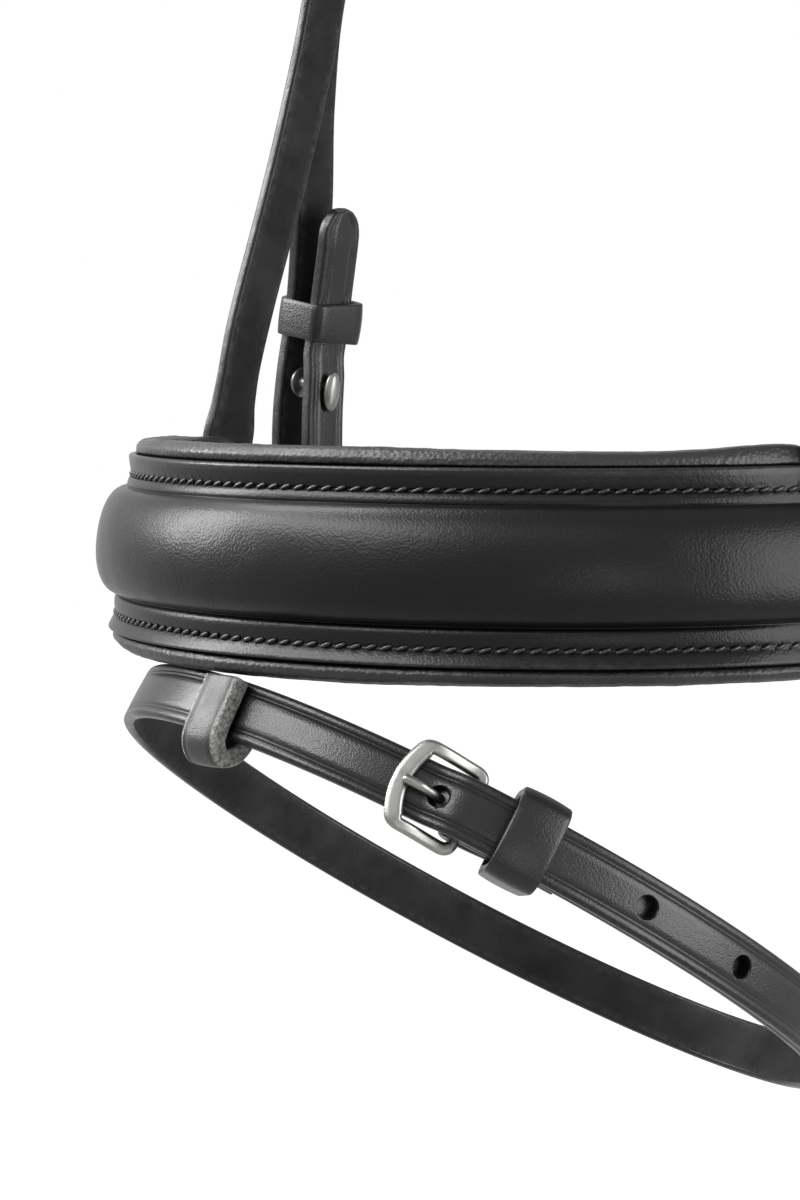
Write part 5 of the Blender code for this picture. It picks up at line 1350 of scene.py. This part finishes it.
def makeChinStrap():
    thick, width = chin["thick"] * mm, chin["width"] * mm
    level = -nose["coverThick"] * mm - gap - thick / 2
    closure = closing(noseLine, chin["barAt"] * mm, level, width, thick)
    lapStart = (nose["half"] - chin["lap"]) * mm
    rows = closure.billet(lapStart, chin["tail"] * mm)
    piece = strapPiece("chin_billet_skin", noseLine, rows, thick, chinLook)
    first = closure.barAt - fitting["holeFromBar"] * mm
    places = [first + hanging["pitch"] * mm * (i + 1) for i in range(hanging["holes"])]
    closure.punchTongueHole(piece)
    punchHoles(piece, noseLine, places, level + thick / 2 + closure.lay, holeLook)
    dress(piece, "noseband", "bridle_leather", "chin_billet")
    rows = closure.lowerStrap(noseLine.total - lapStart, 0.011)
    piece = strapPiece("chin_strap_skin", noseLine, rows, thick, chinLook)
    closure.openSlot(piece)
    dress(piece, "noseband", "bridle_leather", "chin_strap")
    closure.dressFittings("chin", "noseband", chin["keeperAt"])
    loop = closure.keeper("chin_runner_loop", chin["runnerAt"] * mm, low=level - thick / 2)
    dress(loop, "chin_runner_body", "bridle_leather", "chin_runner")

    middle = noseLine.total / 2 + chin["padShift"] * mm
    front = level - thick / 2 - gap
    rings, pinned = [], []
    for at in spaced(-chin["padLength"] * mm / 2, chin["padLength"] * mm / 2, chin["padStep"] * mm):
        full = roundOff((chin["padLength"] * mm / 2 - abs(at)) / (chin["padEnd"] * mm))
        half = chin["padWidth"] * mm / 2 * (0.60 + 0.40 * full) - 0.0003
        deep = front - chin["padThick"] * mm * (0.40 + 0.60 * full) + 0.0006
        dense = withMiddles([
            (-half, front - 0.0014), (0.0012 - half, front), (0.0, front), (half - 0.0012, front),
            (half, front - 0.0014), (half - 0.0006, deep + 0.0026), (half * 0.74, deep + 0.0005),
            (half * 0.3, deep), (-half * 0.3, deep), (-half * 0.74, deep + 0.0005),
            (0.0006 - half, deep + 0.0026)])
        rings.append([noseLine.place(middle + at, across, depth) for across, depth in dense])
        pinned += [1.0 if depth > front - 0.002 else 0.2 for across, depth in dense]
    pad = softPad("chin_pad_soft", rings, padMaterials, {"pressure": 4.0, "cap": 0.7, "fill": 0.7}, pinned)
    dress(pad, "noseband", "soft_leather", "chin_pad")
    print("chin strap made")


makeChinStrap()


# Flash strap
flash = {"halfWidth": 81.7, "halfLength": 79.9, "front": -95.6, "drop": 31.65, "sideFall": 0.138,
         "rearFall": 0.607, "width": 13.2, "thick": 2.8, "barAt": 61.2, "tail": 112.0, "holeAt": 14.0,
         "pitch": 27.5, "holes": 4, "keeperAt": 13.0, "tabWidth": 10.8, "tabThick": 4.0, "tabSlack": 0.8}
flashLook = {"edgeRound": 1.0, "creases": (2.0, 2.8), "creaseDeep": 0.18, "arch": 0.15, "step": 1.3}
tabLook = {"edgeRound": 0.9, "creases": (1.5,), "creaseDeep": 0.16, "arch": 0.2, "step": 0.6}


def makeFlash():
    centre = noseCentre + Vector((0.0, flash["front"] + flash["halfLength"], -flash["drop"])) * mm
    line = ovalLine(centre, flash["halfWidth"] * mm, flash["halfLength"] * mm,
                    flash["sideFall"], flash["rearFall"], 0.0)
    width, thick = flash["width"] * mm, flash["thick"] * mm
    closure = closing(line, flash["barAt"] * mm, 0.0, width, thick)
    lap = closing(line, flash["barAt"] * mm + line.total, 0.0, width, thick)
    rows = closure.chape() + lap.billet(closure.barAt + fitting["foldEnd"] * mm, flash["tail"] * mm)
    piece = strapPiece("flash_strap_skin", line, rows, thick, flashLook)
    closure.openSlot(piece)
    closure.punchTongueHole(piece)
    places = [closure.barAt + (flash["holeAt"] + flash["pitch"] * i) * mm for i in range(flash["holes"])]
    punchHoles(piece, line, places, thick / 2 + closure.lay, dict(holeLook, through=2.95))
    dress(piece, "flash", "bridle_leather", "flash_strap")
    closure.dressFittings("flash", "flash", flash["keeperAt"], keeperBody="flash_keeper_body")

    # The tab hangs level from the noseband: down in front of the strap, up behind it.
    base = line.place(0.0, 0.0, 0.0)
    lift = Vector((0.0, flash["rearFall"], 1.0)).normalized()
    outward = Vector((0.0, -1.0, flash["rearFall"])).normalized()
    lay = (flash["thick"] / 2 + fitting["gap"] + flash["tabThick"] / 2) * mm
    half, slack = width / 2, flash["tabSlack"] * mm
    path = [(half - 0.0014, lay), (0.0, lay), (-half + 0.0008, lay), (-half - 0.0020, lay - 0.0004),
            (-half - 0.0042, lay - 0.0020), (-half - 0.0050, 0.0), (-half - 0.0042, 0.0020 - lay),
            (-half - 0.0020, -lay), (-half + 0.0008, -lay - slack), (0.0, -lay - slack),
            (half - 0.0018, -lay - slack)]
    rows = smoothRows(path, tabLook["step"] * mm)
    section, slots, wears = strapSection(flash["tabWidth"] * mm, flash["tabThick"] * mm, tabLook)
    rings = []
    for i, (rise, depth) in enumerate(rows):
        before, after = neighbours(rows, i)
        way = Vector((after[0] - before[0], after[1] - before[1])).normalized()
        rings.append([base - Vector((side, 0.0, 0.0)) + lift * (rise + way.y * ply)
                      + outward * (depth - way.x * ply) for side, ply in section])
    # The tab's face takes the paler copy of the leather, whose colour is a painted sheen.
    materials = [tabLeatherPaintedSheen, rawCutEdge, dressedFleshSide]
    piece = meshFromRings("flash_tab_skin", rings, materials, slots, wears)
    dress(piece, "flash", "bridle_leather", "flash_tab")
    print("flash strap made")


makeFlash()
sewAll()
print("stitched")


# Studio, in metres: pale floor, white surroundings for the eye and for reflections, soft lamps
studio = {"floorZ": -1.25, "floorRadius": 9.0, "floor": "#d2d2d0", "floorSpeck": "#cececc",
          "ambient": "#707070", "glowFrom": 0.3, "glowTo": 2.8, "glowNear": 0.0, "glowFar": 0.92,
          "aim": (0.0, -0.03, -0.40)}
# Each lamp: its place, width and height in metres, and its power in watts.
lamps = {"offSideSoftbox": ((-1.046, -0.684, 0.169), 0.43, 0.70, 26.0),
         "frontTopSoftbox": ((-0.293, -1.053, 0.431), 0.95, 0.44, 25.0),
         "nearSideSoftbox": ((1.293, 0.390, -0.270), 0.90, 1.10, 26.0),
         "nearFrontSoftbox": ((1.132, -0.765, -0.440), 0.30, 0.34, 1.7),
         "frontSoftbox": ((0.75, -1.10, 0.58), 1.20, 0.50, 3.0),
         "overheadSoftbox": ((-0.62, -0.30, 0.66), 0.60, 0.50, 14.0)}


def seenDirectly(tree):
    # One for rays from the camera, a reflection or through glass, nothing for light that spreads.
    path = addNode(tree, "ShaderNodeLightPath").outputs
    seen = path["Is Camera Ray"]
    for kind in ("Is Glossy Ray", "Is Transmission Ray"):
        seen = addNode(tree, "ShaderNodeMath", {}, {0: seen, 1: path[kind]}, operation="MAXIMUM").outputs[0]
    return seen


def makeStudio():
    build = bmesh.new()
    bmesh.ops.create_circle(build, cap_ends=True, segments=96, radius=studio["floorRadius"])
    mesh = bpy.data.meshes.new("floor")
    build.to_mesh(mesh)
    build.free()
    floor = bpy.data.objects.new("floor", mesh)
    floor.location.z = studio["floorZ"]
    scene.collection.objects.link(floor)
    paint, tree = emptyMaterial("matt_white_floor_paint")
    where = addNode(tree, "ShaderNodeTexCoord").outputs["Object"]
    away = addNode(tree, "ShaderNodeVectorMath", {}, {0: where}, operation="LENGTH")
    # The lamps light the floor near the bridle. Further out it glows, to stay as pale as the background.
    glow = addNode(tree, "ShaderNodeMapRange", {"From Min": studio["glowFrom"], "From Max": studio["glowTo"],
                                                "To Min": studio["glowNear"], "To Max": studio["glowFar"]},
                   {"Value": away.outputs["Value"]}, interpolation_type="SMOOTHSTEP")
    glow = addNode(tree, "ShaderNodeMath", {}, {0: seenDirectly(tree), 1: glow.outputs["Result"]},
                   operation="MULTIPLY")
    speck = addNode(tree, "ShaderNodeTexNoise", {"Scale": 60.0, "Detail": 3.0}, {"Vector": where})
    tone = addNode(tree, "ShaderNodeMix", {"A": linear(studio["floorSpeck"]), "B": linear(studio["floor"])},
                   {"Factor": speck.outputs["Fac"]}, data_type="RGBA")
    shader = addNode(tree, "ShaderNodeBsdfPrincipled",
                     {"Roughness": 0.9, "Emission Color": (1.0, 1.0, 1.0, 1.0)},
                     {"Base Color": tone.outputs["Result"], "Emission Strength": glow.outputs[0]})
    addNode(tree, "ShaderNodeOutputMaterial", {}, {"Surface": shader.outputs["BSDF"]})
    mesh.materials.append(paint)

    world = bpy.data.worlds.new("studio")
    world.use_nodes = True
    scene.world = world
    tree = world.node_tree
    tree.nodes.clear()
    tone = addNode(tree, "ShaderNodeMix", {"A": linear(studio["ambient"]), "B": (1.0, 1.0, 1.0, 1.0)},
                   {"Factor": seenDirectly(tree)}, data_type="RGBA")
    light = addNode(tree, "ShaderNodeBackground", {"Strength": 1.0}, {"Color": tone.outputs["Result"]})
    addNode(tree, "ShaderNodeOutputWorld", {}, {"Surface": light.outputs["Background"]})

    for label, (place, width, height, power) in lamps.items():
        data = bpy.data.lights.new(label, "AREA")
        data.shape, data.size, data.size_y, data.energy = "RECTANGLE", width, height, power
        lamp = bpy.data.objects.new(label, data)
        lamp.location = place
        lamp.rotation_euler = (Vector(studio["aim"]) - Vector(place)).to_track_quat("-Z", "Y").to_euler()
        scene.collection.objects.link(lamp)
    print("studio set")


makeStudio()
